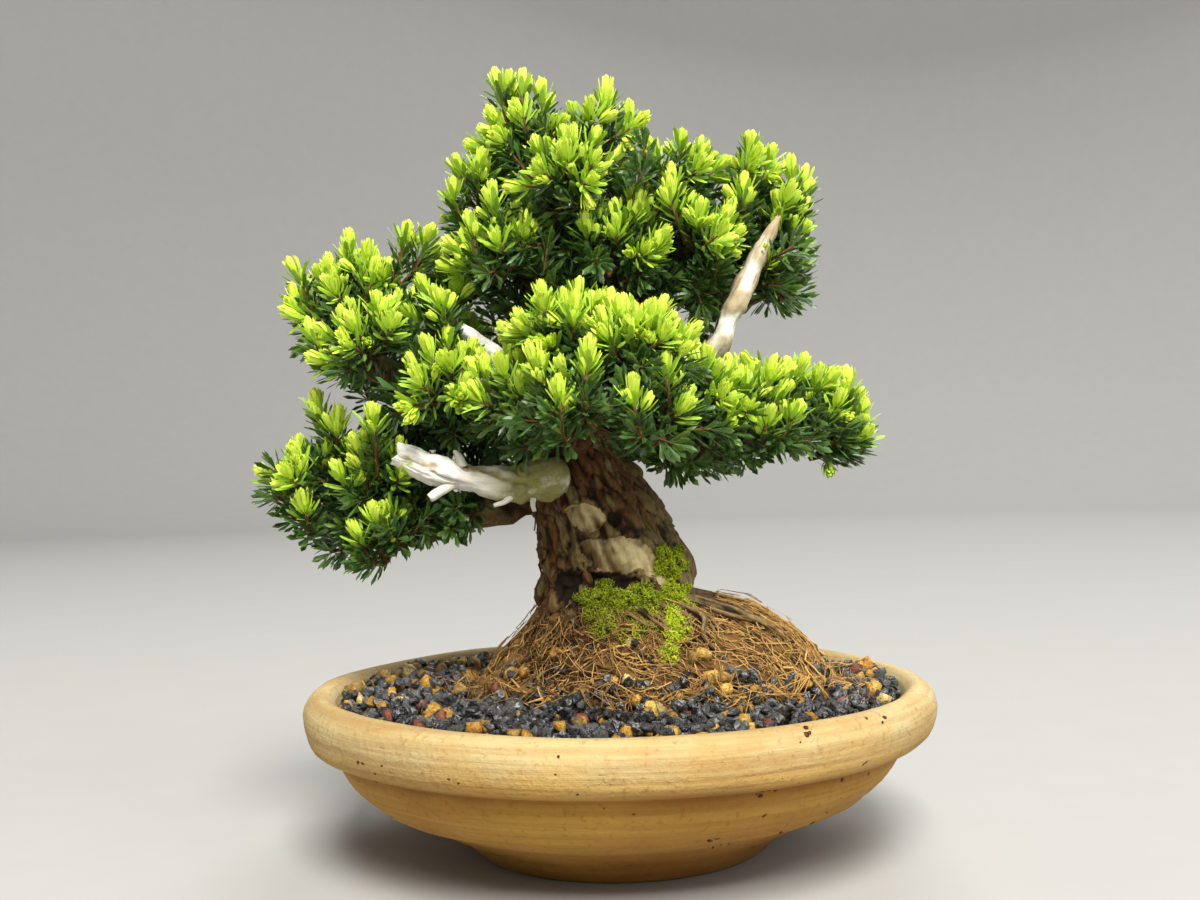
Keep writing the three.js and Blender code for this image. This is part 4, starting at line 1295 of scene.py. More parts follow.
@dataclass
class Trunk:
    """The trunk and its living limbs, under flaky bark."""

    sides: int = 168
    rings: int = 190
    limb_sides: int = 12
    upper_rings: int = 50
    upper_share: float = 0.55
    limb_rings: int = 32
    flakes: int = 170
    twist: float = 0.011
    shift: float = 1.1
    girth: float = 1.0
    shift_height: float = 60.0
    front: float = -2.0
    upper_scar: Sequence[Pair] = (
        *((-9.4, 65.2), (-8.2, 66.7), (-5.2, 67.1), (-2.4, 66.2), (-1.2, 64.0), (-2.6, 62.3)),
        *((-5.2, 61.7), (-8.0, 62.7)),
    )
    lower_scar: Sequence[Pair] = (
        *((-6.6, 59.8), (-4.4, 60.6), (-1.6, 60.2), (0.8, 60.9), (3.4, 60.2), (5.6, 58.3), (7.6, 55.8)),
        *((9.6, 52.8), (10.6, 50.6), (9.0, 50.8), (6.8, 53.0), (5.0, 54.6), (3.0, 54.3), (0.6, 53.7)),
        *((-1.6, 54.5), (-3.6, 55.2), (-5.4, 56.5), (-6.5, 58.1)),
    )
    # Hollows on the front: x, z, half width, half height and depth in millimetres; they are darkened with
    # painted shade.
    hollows: Sequence[tuple[float, float, float, float, float]] = (
        *((-2.2, 52.6, 5.4, 1.5, 2.4), (-0.1, 64.0, 1.2, 1.4, 1.2), (-9.5, 51.5, 2.2, 3.2, 1.4)),
    )

    def scar_distance(self, places: np.ndarray) -> np.ndarray:
        """How far places are outside the bare wood on the front, below zero inside it.

        Args:
            places: Places on the trunk.

        Returns:
            Distances in millimetres.
        """
        flat = places[..., [0, 2]]
        away = np.minimum(outline_distance(flat, self.upper_scar), outline_distance(flat, self.lower_scar))
        return np.where(places[..., 1] < self.front, away + 0.7 * noise_at(places, (2.4, 2.4, 4), 4), 99.0)

    def hollow(self, places: np.ndarray) -> np.ndarray:
        """How deep the hollows on the front are, in millimetres. The build also paints shade into them by
        these depths.

        Args:
            places: Places on the trunk.

        Returns:
            One depth for each place.
        """
        depth = np.zeros(places.shape[:-1])
        ragged = 1 + 0.35 * noise_at(places, (2, 2, 2), 2)
        for x, z, wide, high, deep in self.hollows:
            away = np.hypot((places[..., 0] - x) / wide, (places[..., 2] - z) / high) * ragged
            depth = np.maximum(depth, deep * smoothstep(1.25, 0.5, away))
        return np.where(places[..., 1] < self.front, depth, 0)

    def bark(self, grain: np.ndarray) -> tuple[np.ndarray, np.ndarray]:
        """Flaky plates, split by crevices that run along the wood.

        Args:
            grain: Places on the unrolled wood.

        Returns:
            The height from 0 to about 1.4, and a draw from 0 to 1 for each plate.
        """
        flat = grain.reshape(-1, 3)
        warp = np.stack([noise_at(flat + shift, (5, 5, 11), 3) for shift in (0.0, 31.0, 57.0)], -1)
        spots = (flat + warp * [1.9, 1.9, 4.2]) / [2.0, 2.0, 7.2]
        height = np.zeros(len(flat))
        draws = np.zeros(len(flat))
        for k, spot in enumerate(spots):
            near, cells = noise.voronoi(Vector(spot))
            edge = min(1.0, (near[1] - near[0]) / 0.34)
            draws[k] = (math.sin(cells[0].x * 12.9 + cells[0].y * 78.2 + cells[0].z * 37.7) * 437.58) % 1
            lean = max(-1.0, min(1.0, (spot[2] - cells[0].z) * 1.6))
            height[k] = edge**0.6 * (0.42 + 0.62 * draws[k] - 0.34 * lean)
        furrow = 1 - np.minimum(np.abs(noise_at(flat, (4.4, 4.4, 26), 2)) * 5, 1)
        height = height * (1 - 0.8 * furrow**2) + noise_at(flat, (0.9, 0.9, 3.4), 3) * 0.2
        return height.reshape(grain.shape[:-1]), draws.reshape(grain.shape[:-1])

    def build(self) -> bpy.types.Object:
        """Makes the trunk and limbs in one piece."""
        shell = Shell("bark")
        lower = np.linspace(0, self.upper_share, self.rings - self.upper_rings)
        stops = np.concatenate([lower, np.linspace(self.upper_share + 0.005, 1, self.upper_rings)])
        rod = one_rod(TRUNK_PATH, stops, self.sides)
        grain = rod.unrolled(12.0, self.twist)
        height, draws = self.bark(grain)
        surface = rod.surface()
        draws = draws + (1 - draws) * 0.45 * smoothstep(-1, 9, surface[..., 0])
        away = self.scar_distance(surface)
        bare = smoothstep(0.4, -0.3, away)
        callus = 0.9 * np.exp(-(((away - 0.9) / 0.6) ** 2))
        hollow = self.hollow(surface)
        swell = noise_at(surface, (12, 12, 19), 3) * 1.7 * (1 - 0.7 * bare)
        wood = noise_at(grain, (1.5, 1.5, 12), 4) * 0.3 - 0.3 - 0.55 * smoothstep(-1.0, 0, away)
        fade = smoothstep(2, 6, rod.radii)[:, :, None]
        aside = rod.outward[..., 0]
        x, z = surface[..., 0], surface[..., 2]
        belly = np.exp(-(((z - self.shift_height) / 11) ** 2))
        swell += (self.shift * aside + self.girth * np.abs(aside)) * belly
        relief = fade * (swell + (1 - bare) * (1.6 * height - 1.0 + callus) + bare * wood) - hollow
        tail = 0.42 + 0.07 * (x + 1) + 0.05 * (z - 57) + 0.35 * noise_at(surface, (3.4, 3.4, 5), 3)
        tail += 0.5 * noise_at(grain, (1.1, 1.1, 9), 3)
        # Painted shade: the hollows lower the painted height, which the bark material turns dark, and bare
        # wood is not shown in their deepest parts.
        shade = np.where(bare > 0.5, tail, height * 0.8 + 0.12) - 0.75 * hollow
        values = np.stack([bare * (hollow < 0.4), np.clip(shade, 0, 1), draws], -1)
        rod.pour(shell, values, relief)
        for path in LIMB_PATHS:
            limb = one_rod(path, np.linspace(0, 1, self.limb_rings), self.limb_sides)
            rough, own = self.bark(limb.unrolled(4.0))
            lumps = noise_at(limb.surface(), (5, 5, 5), 2)
            values = np.stack([np.zeros_like(rough), np.clip(rough * 0.8 + 0.1, 0, 1), own], -1)
            limb.pour(shell, values, (0.24 * (rough - 0.6) + 0.22 * lumps) * limb.radii[:, :, None])
        self.peel(shell, rod, surface + rod.outward * relief[..., None], away)
        return shell.make("trunk_bark", Bark().material())

    def peel(self, shell: Shell, rod: Rods, surface: np.ndarray, away: np.ndarray) -> None:
        """Adds loose flakes that lift off the bark at one end.

        Args:
            shell: Where they go.
            rod: The trunk.
            surface: Its corners.
            away: How far each corner is outside the bare wood.
        """
        random = np.random.default_rng(19)
        rings = random.integers(18, 132, self.flakes)
        sides = random.integers(0, self.sides, self.flakes)
        clear = away[0, rings, sides] > 1.5
        rings, sides = rings[clear], sides[clear]
        out = rod.outward[0, rings, sides]
        ends = random.choice([-1, 1], len(rings)) * random.integers(2, 5, len(rings))
        root, tip = surface[0, rings - ends, sides], surface[0, rings + ends, sides]
        across = unit(np.cross(tip - root, out))
        half = random.uniform(0.4, 1.1, len(rings))[:, None]
        curl = random.uniform(0.1, 0.5, len(rings))[:, None]
        sections = []
        for share, wide in ((0.0, 0.5), (0.35, 1.0), (0.7, 0.85), (1.0, 0.3)):
            middle = root + (tip - root) * share + out * (0.05 + curl * share**2)
            for side, rise in ((-1, 0.05), (0, 0.24), (1, 0.05), (0, -0.1)):
                sections.append(middle + across * side * half * wide + out * rise)
        corners = np.stack(sections, 1)
        middles = np.stack([corners[:, 0:4].mean(1), corners[:, 12:16].mean(1)], 1)
        corners = np.concatenate([corners, middles], 1)
        step = corners.shape[1]
        draw = random.uniform(0.05, 1.0, len(rings))
        values = np.stack([np.zeros_like(draw), np.full_like(draw, 0.7), draw], -1)
        faces = [repeated(f, len(rings), step) for f in ring_faces(4, 4)]
        shell.add(corners, faces, np.repeat(values[:, None], step, 1))


@dataclass(frozen=True)
class DeadBranch:
    """One dead branch: its points, ragged end, depth of fibres, fineness, olive foot and tan."""

    points: Sequence[tuple[float, float, float, float]]
    ragged: float = 0.4
    fibre: float = 0.3
    rings: int = 26
    sides: int = 14
    olive: float = 0.3
    tan: float = 0.0


@dataclass
class DeadBranches:
    """The bleached dead branches, with the marks on the front of the long one."""

    branches: Sequence[DeadBranch] = (
        DeadBranch(
            (
                *((-8.7, -12.4, 72.0, 0.6), (-9.1, -12.6, 72.0, 2.5), (-10.2, -12.8, 72.1, 3.6)),
                *((-12.2, -13.0, 72.2, 4.2), (-14.6, -13.4, 72.1, 4.25), (-18.5, -14.0, 71.6, 3.5)),
                *((-22.3, -14.6, 71.9, 3.0), (-27.0, -15.2, 72.4, 2.5), (-30.8, -15.8, 73.9, 2.9)),
                *((-34.5, -16.4, 75.1, 2.7), (-37.6, -16.8, 76.5, 2.45), (-40.4, -17.2, 77.6, 2.2)),
            ),
            *(3.0, 0.62, 150, 56, 1.0),
        ),
        DeadBranch(
            (
                *((-4, -1, 84, 4.2), (8, -6, 91, 2.6), (20.4, -8.4, 97, 2.1), (23.7, -9, 103.4, 2.0)),
                *((26.8, -9, 109.4, 1.85), (29.8, -9, 115.4, 1.5)),
                *((31.9, -9, 119.4, 1.05), (33.4, -9, 122.0, 0.45)),
            ),
            *(1.6, 0.42, 120, 32, 0.5, 0.52),
        ),
        DeadBranch(((-13, 1, 90, 3.4), (-21, -4, 95.6, 2.1), (-29, -8, 102, 1.2)), 1.2, 0.5, 50, 24, 0.2),
        DeadBranch(((-29.0, -16.0, 72.6, 1.5), (-31.4, -17.4, 71.0, 0.95), (-34.4, -18.2, 69.2, 0.85)), 0.5),
        DeadBranch(((-28.6, -15.8, 75.0, 1.3), (-29.2, -16.2, 77.2, 0.75), (-29.9, -16.4, 78.0, 0.35))),
        DeadBranch(((-19.4, -15.4, 69.2, 0.8), (-20.6, -16.0, 68.1, 0.5), (-22.6, -16.4, 67.5, 0.4))),
        DeadBranch(((-15.2, -14.6, 69.0, 0.8), (-15.3, -15.2, 67.4, 0.5), (-15.0, -15.4, 66.2, 0.4))),
        DeadBranch(
            ((-6.4, -13.3, 67.0, 0.15), (-8.0, -13.5, 67.0, 0.28), (-9.4, -13.3, 66.2, 0.15)), olive=1.0
        ),
    )
    groove: Sequence[Pair] = ((-29.6, 77.0), (-27.4, 74.6), (-22.4, 73.6), (-18.4, 71.8), (-15.6, 71.0))
    hollow: Sequence[Pair] = ((-38.4, 76.9), (-35.6, 75.9), (-33.4, 74.6))
    rings: Sequence[Point] = ((-16.9, 74.2, 0.85), (-17.6, 70.4, 0.95))
    front: float = -13.5

    def marks(self, places: np.ndarray) -> tuple[np.ndarray, np.ndarray]:
        """The groove, the hollow and the ring knots on the front of the long branch.

        Args:
            places: Places on the branch.

        Returns:
            How far each place stands out for them, and how brown they make it.
        """
        flat = places[..., [0, 2]] + 0.35 * noise_at(places, (2, 2, 2), 2)[..., None]
        groove = np.exp(-((path_distance(flat, self.groove) / 0.62) ** 2))
        hollow = np.exp(-((path_distance(flat, self.hollow) / 0.95) ** 4))
        relief, brown = -0.75 * groove - 0.8 * hollow, 0.9 * groove + 0.55 * hollow
        for x, z, size in self.rings:
            away = np.hypot(flat[..., 0] - x, flat[..., 1] - z)
            lip = np.exp(-(((away - size) / 0.3) ** 2))
            pit = np.exp(-((away / (0.4 * size)) ** 2)) + np.exp(-(((away - 1.6 * size) / 0.2) ** 2))
            relief += 0.45 * lip - 0.35 * pit
            brown += 0.8 * pit
        front = places[..., 1] < self.front
        return np.where(front, relief, 0), np.where(front, brown, 0)

    def build(self) -> bpy.types.Object:
        """Makes the dead branches with long fibres, knots and broken ends."""
        shell = Shell("wood")
        for index, branch in enumerate(self.branches):
            rod = one_rod(branch.points, np.linspace(0, 1, branch.rings), branch.sides)
            places = rod.surface()
            grain = rod.unrolled(4.0) + index * 17
            tip = smoothstep(0.35, 0.8, rod.along / rod.along[:, -1:])[:, :, None]
            fibres = noise_at(grain, (0.8, 0.8, 9), 4) * (0.3 + 0.7 * tip)
            lumps = noise_at(places, (4.5, 4.5, 4.5), 3)
            scale = np.minimum(rod.radii[:, :, None] / 2.6, 1.0)
            relief = (fibres * branch.fibre * 1.6 + lumps * 0.75) * scale
            olive = branch.olive * smoothstep(21, 8, rod.along)[:, :, None] + 0.25 * fibres
            brown = 0.35 + 0.4 * lumps + branch.tan
            if index == 0:
                # The groove, the hollow and the knot pits are painted browner and greyer.
                pressed, browned = self.marks(places)
                relief, brown = relief + pressed, brown + 0.6 * browned
            values = np.stack([olive + 0 * fibres, 0.7 + 0.9 * fibres - 0.2 * brown, brown], -1)
            length = rod.along[0, -1]
            end = smoothstep(length - 1.6 * branch.ragged, length, rod.along)[:, :, None]
            angles = spread_turns(rod.sides)
            teeth = sum(np.sin(angles * k + k * 2.1) / k**0.5 for k in (2, 5, 9, 14)) * 0.42
            ahead = unit(rod.paths[:, -1] - rod.paths[:, -4])[:, None, None]
            broken = ahead * (end * teeth * branch.ragged * 0.6)[..., None]
            rod.pour(shell, values, relief * (1 - end), broken)
        return shell.make("dead_branches", DeadWood().material())


@dataclass
class MossPatch:
    """Moss on the trunk's foot and the mound's front, in lobes of x, z, their half sizes and their tones."""

    lobes: Sequence[tuple[float, float, float, float, float]] = (
        *((-2.2, 48.6, 4.8, 3.4, 0.0), (4.2, 48.4, 5.6, 3.2, 0.2), (1.0, 44.0, 6.4, 2.4, -0.3)),
        *((10.6, 55.2, 3.2, 3.4, 0.55), (10.9, 48.4, 3.4, 3.0, 0.55), (11.2, 43.4, 2.9, 3.0, 0.65)),
        (9.4, 39.2, 1.6, 2.0, 0.6),
    )
    shoots: int = 4200
    leaves: int = 3
    before: float = -60.0
    deep_leaf: float = 1.8
    leaf_section: Sequence[Pair] = ((0.17, 0.0), (-0.085, 0.147), (-0.085, -0.147))

    def build(self, grounds: Sequence[bpy.types.Object]) -> bpy.types.Object:
        """Makes the moss on the surfaces that a straight look from the front meets.

        Args:
            grounds: The pieces that it grows on.

        Returns:
            The moss.
        """
        random = np.random.default_rng(3)
        trees = [BVHTree.FromObject(g, bpy.context.evaluated_depsgraph_get()) for g in grounds]
        areas = np.array([wide * high for _, _, wide, high, _ in self.lobes])
        roots, normals, heights, tones = [], [], [], []
        for lobe in random.choice(len(self.lobes), self.shoots, p=areas / areas.sum()):
            x, z, wide, high, shade = self.lobes[lobe]
            turn = random.uniform(0, 2 * np.pi)
            away = random.uniform(0, 1) ** 0.5
            ragged = away * (1 + 0.22 * math.sin(turn * 5 + lobe) + 0.1 * math.sin(turn * 11))
            spot = x + wide * ragged * math.cos(turn), self.before, z + high * ragged * math.sin(turn)
            start = Vector(spot) * METRES
            hits = [tree.ray_cast(start, Vector((0, 1, 0))) for tree in trees]
            found = [hit for hit in hits if hit[0] is not None]
            if found:
                place, normal, _, _ = min(found, key=lambda hit: hit[3])
                roots.append(np.array(place) / METRES)
                normals.append(np.array(normal))
                heights.append(0.8 * (1 - away**2) + random.uniform(-0.2, 0.4))
                tones.append(shade + random.uniform(-0.3, 0.35))
        root = np.asarray(roots)
        tone = np.asarray(tones) + 0.35 * noise_at(root, (2.6, 2.6, 2.6), 2)
        out = unit(np.asarray(normals) + [0, -0.2, 0.5])
        cushion = 0.4 * noise_at(root, (1.8, 1.8, 1.8), 2)[:, None]
        root = root + out * (np.asarray(heights)[:, None] + cushion)
        shell = Shell("moss")
        for _ in range(self.leaves):
            lean = unit(out + random.normal(0, 0.55, root.shape))
            self.leaf(shell, root, lean, random.uniform(0.5, 0.95, (len(root), 1)), tone)
        lean = unit(out + random.normal(0, 0.2, root.shape))
        self.leaf(shell, root - out * 1.3, lean, np.full((len(root), 1), self.deep_leaf), tone * 0.3)
        return shell.make("moss_cushions", MossSkin().material())

    def leaf(
        self, shell: Shell, root: np.ndarray, lean: np.ndarray, length: np.ndarray, tone: np.ndarray
    ) -> None:
        """Adds one pointed leaf to each shoot.

        Args:
            shell: Where they go.
            root: The shoots' places.
            lean: The leaves' directions.
            length: Their lengths.
            tone: The shoots' own shades.
        """
        side = unit(np.cross(lean, [0.3, 0.9, 0.2]))
        over = np.cross(lean, side)
        ring = [side * wide + over * high for wide, high in self.leaf_section]
        corners = np.stack([*(root + lean * length * 0.15 + r for r in ring), root + lean * length], 1)
        faces = np.array([[0, 1, 2], [0, 3, 1], [1, 3, 2], [2, 3, 0]])
        along = np.array([0.25, 0.25, 0.25, 1.0])
        values = np.stack(np.broadcast_arrays(along[None], tone[:, None], 0.5), -1)
        shell.add(corners, [repeated(faces, len(root), 4)], values)


class Needles(Enum):
    """How needles grow on a stem: count, angles and lengths at foot and tip, width, curl and unevenness."""

    OLD = (19, (62, 36), (4.9, 4.6), 1.05, 0.05, 0.14)
    INNER = (18, (64, 40), (4.9, 4.6), 1.15, 0.05, 0.14)
    END = (6, (38, 12), (4.6, 3.8), 1.1, 0.05, 0.14)
    YOUNG = (21, (34, 4), (4.3, 2.7), 0.88, 0.26, 0.05)

    def __init__(
        self, count: int, angles: Pair, lengths: Pair, width: float, curl: float, uneven: float
    ) -> None:
        """Names the parts of the value."""
        self.count, self.angles, self.lengths = count, angles, lengths
        self.width, self.curl, self.uneven = width, curl, uneven


@dataclass
class NeedleSet:
    """Flat blunt needles with a midrib, gathered for one piece."""

    shell: Shell
    blunt_stops: Sequence[Pair] = ((0.42, 1.0), (0.88, 0.76))
    pointed_stops: Sequence[Pair] = ((0.78, 1.0),)
    midrib: float = 0.34

    def add(
        self, root: np.ndarray, lean: np.ndarray, upper: np.ndarray, length: np.ndarray, width: np.ndarray,
        curl: np.ndarray, youth: np.ndarray, draw: np.ndarray, blunt: bool,
    ) -> None:
        """Adds needles.

        Args:
            root: Where each grows out.
            lean: Its direction.
            upper: The direction that its upper side turns to.
            length: Its length.
            width: Its width.
            curl: How far its tip bends to its upper side, as a share of its length.
            youth: 0 for an old needle and 1 for this spring's.
            draw: Its own shade.
            blunt: Whether they have shoulders before their tips.
        """
        side = unit(np.cross(lean, upper))
        top = np.cross(side, lean)
        reach, half, bend = length[:, None], width[:, None] / 2, (curl * length)[:, None]

        def section(share: float, size: float) -> list[np.ndarray]:
            """Left edge, right edge and midrib at one place along the needles."""
            middle = root + lean * reach * share + top * bend * share**2
            edge = side * half * size
            return [middle - edge, middle + edge, middle + top * half * self.midrib]

        stops = self.blunt_stops if blunt else self.pointed_stops
        rings = [corner for stop in stops for corner in section(*stop)]
        corners = np.stack([root, *rings, root + lean * reach + top * bend], 1)
        last = corners.shape[1] - 1
        faces = [[0, 1, 2], [0, 2, 3], [0, 3, 1], [last - 3, last, last - 2], [last - 2, last, last - 1]]
        faces += [[last - 1, last, last - 3]]
        if blunt:
            faces += [[1, 4, 5], [1, 5, 2], [2, 5, 6], [2, 6, 3], [3, 6, 4], [3, 4, 1]]
        along = np.array([0.0, *(share for share, _ in stops for _ in range(3)), 1.0])
        values = np.stack(np.broadcast_arrays(youth[:, None], along[None], draw[:, None]), -1)
        self.shell.add(corners, [repeated(np.array(faces), len(root), last + 1)], values)


@dataclass(frozen=True)
class Tuft:
    """One young brush of a shoot: how often it grows, in shade too, how it strays, its place and size."""

    chance: float
    shade: float
    stray: float
    back: float = 0.0
    ahead: float = 0.0
    size: float = 1.0


@dataclass
class Crown:
    """The foliage: sprays of shoots, each with old needles and pale young brushes at its end."""

    sprays: Mapping[str, Sequence[Point]] = field(
        default_factory=lambda: {
            "apex": [(-16, -3, 141), (-2, -3, 142), (8, 6, 138), (-10, 10, 137), (-7, -13, 130)],
            "upper_left": [(-25, -1, 130), (-21, -10, 115), (-23, 11, 121)],
            "upper_right": [
                *((15, 1, 132), (27, 2, 131), (34, 2, 121), (33, 4, 108)),
                *((18, -9, 117), (3, -9, 116), (17, 14, 124), (30, 16, 114)),
            ],
            "mid_left": [
                *((-52, -8, 106), (-43, -3, 114), (-33, -9, 102), (-46, -15, 97)),
                *((-44, 8, 104), (-30, 8, 111), (-32, -19, 89)),
            ],
            "low_left": [
                *((-53, -4, 81), (-61, -6, 71), (-45, -9, 71)),
                *((-53, 0, 61), (-50, 10, 72), (-43, -9, 60)),
            ],
            "front": [(-7, -26, 97), (5, -31, 94), (-18, -25, 86), (-6, -35, 83), (7, -32, 82)],
            "right": [
                *((17, -23, 85), (27, -18, 83), (36, -9, 86)),
                *((43, -10, 78), (33, -15, 74), (15, -17, 73)),
            ],
            "back": [
                *((-5, 28, 100), (11, 32, 93), (-17, 31, 91), (25, 23, 88)),
                *((-32, 22, 98), (1, 17, 112), (38, 12, 84), (-2, 37, 84)),
            ],
        }
    )
    leaders: Sequence[Point] = (
        *((-21, -4, 153.0), (-15.9, -4, 152.4), (-12.2, 2, 151.8), (-6.2, -8, 144.7), (0.3, 0, 151.4)),
        *((5.2, 2, 147.2), (9.8, -6, 137.4), (14.9, -4, 140.8), (20.1, 0, 138.7), (29.8, 2, 141.2)),
        *((33.6, -4, 137), (37.4, 0, 134.7), (41, 4, 133.8), (40.6, 2, 126.4), (39.9, 0, 116.6)),
        *((39.2, 2, 119.6), (-29.4, -6, 136.3), (-24.4, -11, 135.5), (-30.7, -8, 130.6), (-26.1, -13, 122.6)),
        *((-15.4, -15, 122), (6.5, -11, 126.1), (10.7, -15, 117.5), (21.7, -15, 117.3), (-1, -15, 131.1)),
        *((-8.5, -17, 133.6), (17.9, -12, 125), (-5, -16, 121.9), (-49.7, -10, 120), (-43.8, -15, 113.8)),
        *((-39.5, -4, 124), (-34.4, -6, 122.4), (-61.2, -8, 115.8), (-54.5, -13, 114.8), (-62.1, -10, 109.9)),
        *((-57.4, -15, 102.2), (-49.7, -19, 104.3), (-41.5, -20, 106.2)),
        *((-57.3, -12, 89.7), (-51.9, -15, 85.5)),
        *((-46.8, -17, 82), (-31.5, -18, 108.1), (-60.6, -8, 80.9), (-68.6, -6, 76.2), (-63.3, -11, 73.4)),
        *((-58.8, -15, 69.5), (-48.5, -18, 64.4), (-45.2, -18, 68.1), (-53.1, -15, 75), (-44.5, -20, 86.2)),
        *((-11.8, -33, 106), (-5.7, -35, 103.1), (-15.7, -30, 101.3), (-1.4, -37, 101), (3.1, -36, 99.3)),
        *((8, -34, 101.8), (14.2, -32, 97.7), (-3.4, -40, 94.7), (-13.5, -38, 94.1), (9.4, -37, 92.9)),
        *((16.6, -28, 94.3), (-8.6, -42, 88), (3.2, -42, 87.7), (13.8, -34, 87.2), (24.6, -23, 90.6)),
        *((33.7, -17, 92.7), (39.6, -15, 90.9), (45.3, -12, 90.8), (48.8, -12, 84.6), (48.4, -14, 80.7)),
        *((44.6, -12, 86), (34.2, -25, 85.1), (28.5, -27, 83.3), (22.1, -29, 85.9), (46.5, -10, 79.4)),
        *((5.8, -7, 129.4), (3.6, -5, 133.2), (8.6, -9, 126.6), (2.4, -11, 124.8), (-4, -12, 126.4)),
        *((-21.4, -14, 128.4), (27.4, -8, 129.6), (24.6, -10, 124), (33.4, -5, 125.4), (12.6, -10, 131.4)),
    )
    undersides: Sequence[Pair] = (
        *((-74, 76), (-68, 71), (-62, 63), (-56, 58.5), (-48, 56.5), (-40, 58), (-34, 60.5), (-27, 65)),
        *((-20, 68.5), (-16, 77), (5, 78), (9, 71), (20, 72.5), (27, 75), (33, 77), (38, 76)),
        *((43, 74.5), (60, 77)),
    )
    skyline: Sequence[Pair] = (
        *((-74, 116), (-34, 116.5), (-31, 124), (-29.5, 129), (-26, 132.5), (-24, 142), (-15, 144)),
        *((-12.5, 140.5), (-5, 140), (-1, 146.5), (5, 141.5), (9, 133), (15, 136.5), (20, 133.5)),
        *((27, 135.5), (31, 137), (37, 131), (42, 127)),
    )
    notch: Sequence[Pair] = ((-74, 76), (-56, 77), (-52, 80), (-48, 84), (-44, 88), (-40, 91), (60, 91))
    notch_levels: Pair = (88.0, 91.0)
    gap_side: float = 20.0
    gap: Pair = (92.5, 106.0)
    over_gap: Pair = (107.0, 109.5)
    right_split: float = 96.0
    right_ends: Pair = (47.5, 38.3)
    left_split: float = 90.0
    left_ends: Pair = (-62.5, -65.5)
    bare_wood: Pair = (97.0, -11.5)
    berth: float = 2.0
    sight: float = 1.6
    thickets: Sequence[tuple[Point, Point, int]] = (
        ((-44, -13, 79.5), (-12, 0, 86), 40),
        ((-46, -8, 60), (-25, 2, 74), 44),
        ((-18, -13, 106), (6, -3, 134), 40),
        ((0, -7, 118), (12, 2, 133), 16),
        ((5, -16, 73), (20, -6, 81), 26),
        ((6, -9, 104), (34, 2, 116), 34),
        ((-50, -3, 76), (-22, 8, 92), 46),
    )
    tufts: Sequence[Tuft] = (
        Tuft(1.0, 1.0, 0.12),
        Tuft(0.8, 0.35, 0.62, 2.2, 1.6, 0.88),
        Tuft(0.45, 0.35, 0.66, 3.4, 1.6, 0.8),
    )
    shoots: int = 13
    shoot_length: float = 7.4
    spread: float = math.radians(112)
    heart: Pair = (-8.0, 0.0)
    heart_top: float = 124.0
    lowest_foot: float = 55.0
    highest_foot: float = 9.0
    crowding: float = 9.5
    inner_step: float = 3.0
    inner_round: int = 3
    inner_sides: int = 24
    inner_seed: int = 41
    leader_seed: int = 12
    leader_radii: Sequence[float] = (0.8, 0.6, 0.5, 0.3)
    bare_trunk: float = 77.0

    @staticmethod
    def level(line: Sequence[Pair], x: Shade) -> Shade:
        """The height at x of a line of x and z."""
        return np.interp(x, *np.transpose(line))

    @staticmethod
    def stems(shell: Shell, paths: np.ndarray, radii: Sequence[float], sides: int) -> None:
        """Adds thin wood along paths, with a radius for each of their places."""
        Rods(paths, np.broadcast_to(radii, paths.shape[:2]), sides).pour(shell, TWIG_PAINT)

    def centres(self) -> np.ndarray:
        """The middles of all sprays."""
        return np.concatenate([np.asarray(places, float) for places in self.sprays.values()])

    def foot(self, centre: np.ndarray) -> np.ndarray:
        """The place on the wood that a spray's twig grows from: the nearest that isn't far above it.

        Args:
            centre: The spray's middle.

        Returns:
            One place.
        """
        paths = [smooth_path(path, np.arange(0.16, 1, 0.016)) for path in (TRUNK_PATH, *LIMB_PATHS)]
        wood = np.concatenate(paths)
        away = np.linalg.norm(wood[:, :3] - centre, axis=1) - wood[:, 3]
        away[(wood[:, 2] < self.lowest_foot) | (wood[:, 2] > centre[2] + self.highest_foot)] = np.inf
        return wood[np.argmin(away), :3]

    def directions(self, random: np.random.Generator, bias: np.ndarray) -> np.ndarray:
        """Spread directions of a spray's shoots round its bias.

        Args:
            random: The source of the draws.
            bias: The spray's own direction.

        Returns:
            Directions of shape (shoots, 3).
        """
        index = np.arange(self.shoots)
        rise = 1 - (1 - math.cos(self.spread)) * (index + 0.35) / (self.shoots - 0.3)
        turn = random.uniform(0, 2 * np.pi) + index * GOLDEN_ANGLE
        flat = np.sqrt(1 - rise**2)
        cone = np.stack([flat * np.cos(turn), flat * np.sin(turn), rise], -1)
        turned = np.array(Vector((0, 0, 1)).rotation_difference(Vector(bias)).to_matrix())
        return unit(cone @ turned.T + random.normal(0, 0.12, cone.shape) + 0.3 * bias + [0, 0, 0.3])

    def open_air(self, places: np.ndarray) -> np.ndarray:
        """How open the air is.

        Args:
            places: Places of shape (n, 3).

        Returns:
            0 deep in the crown to 1 on its skin, for each place.
        """
        away = places[:, None] - self.centres()[None]
        level, above = (np.linalg.norm(away + [0, 0, rise], axis=-1) / self.crowding for rise in (0, 9))
        fill = np.exp(-(level**2)).sum(1) + 1.1 * np.exp(-(above**2)).sum(1)
        return smoothstep(2.3, 0.9, fill)

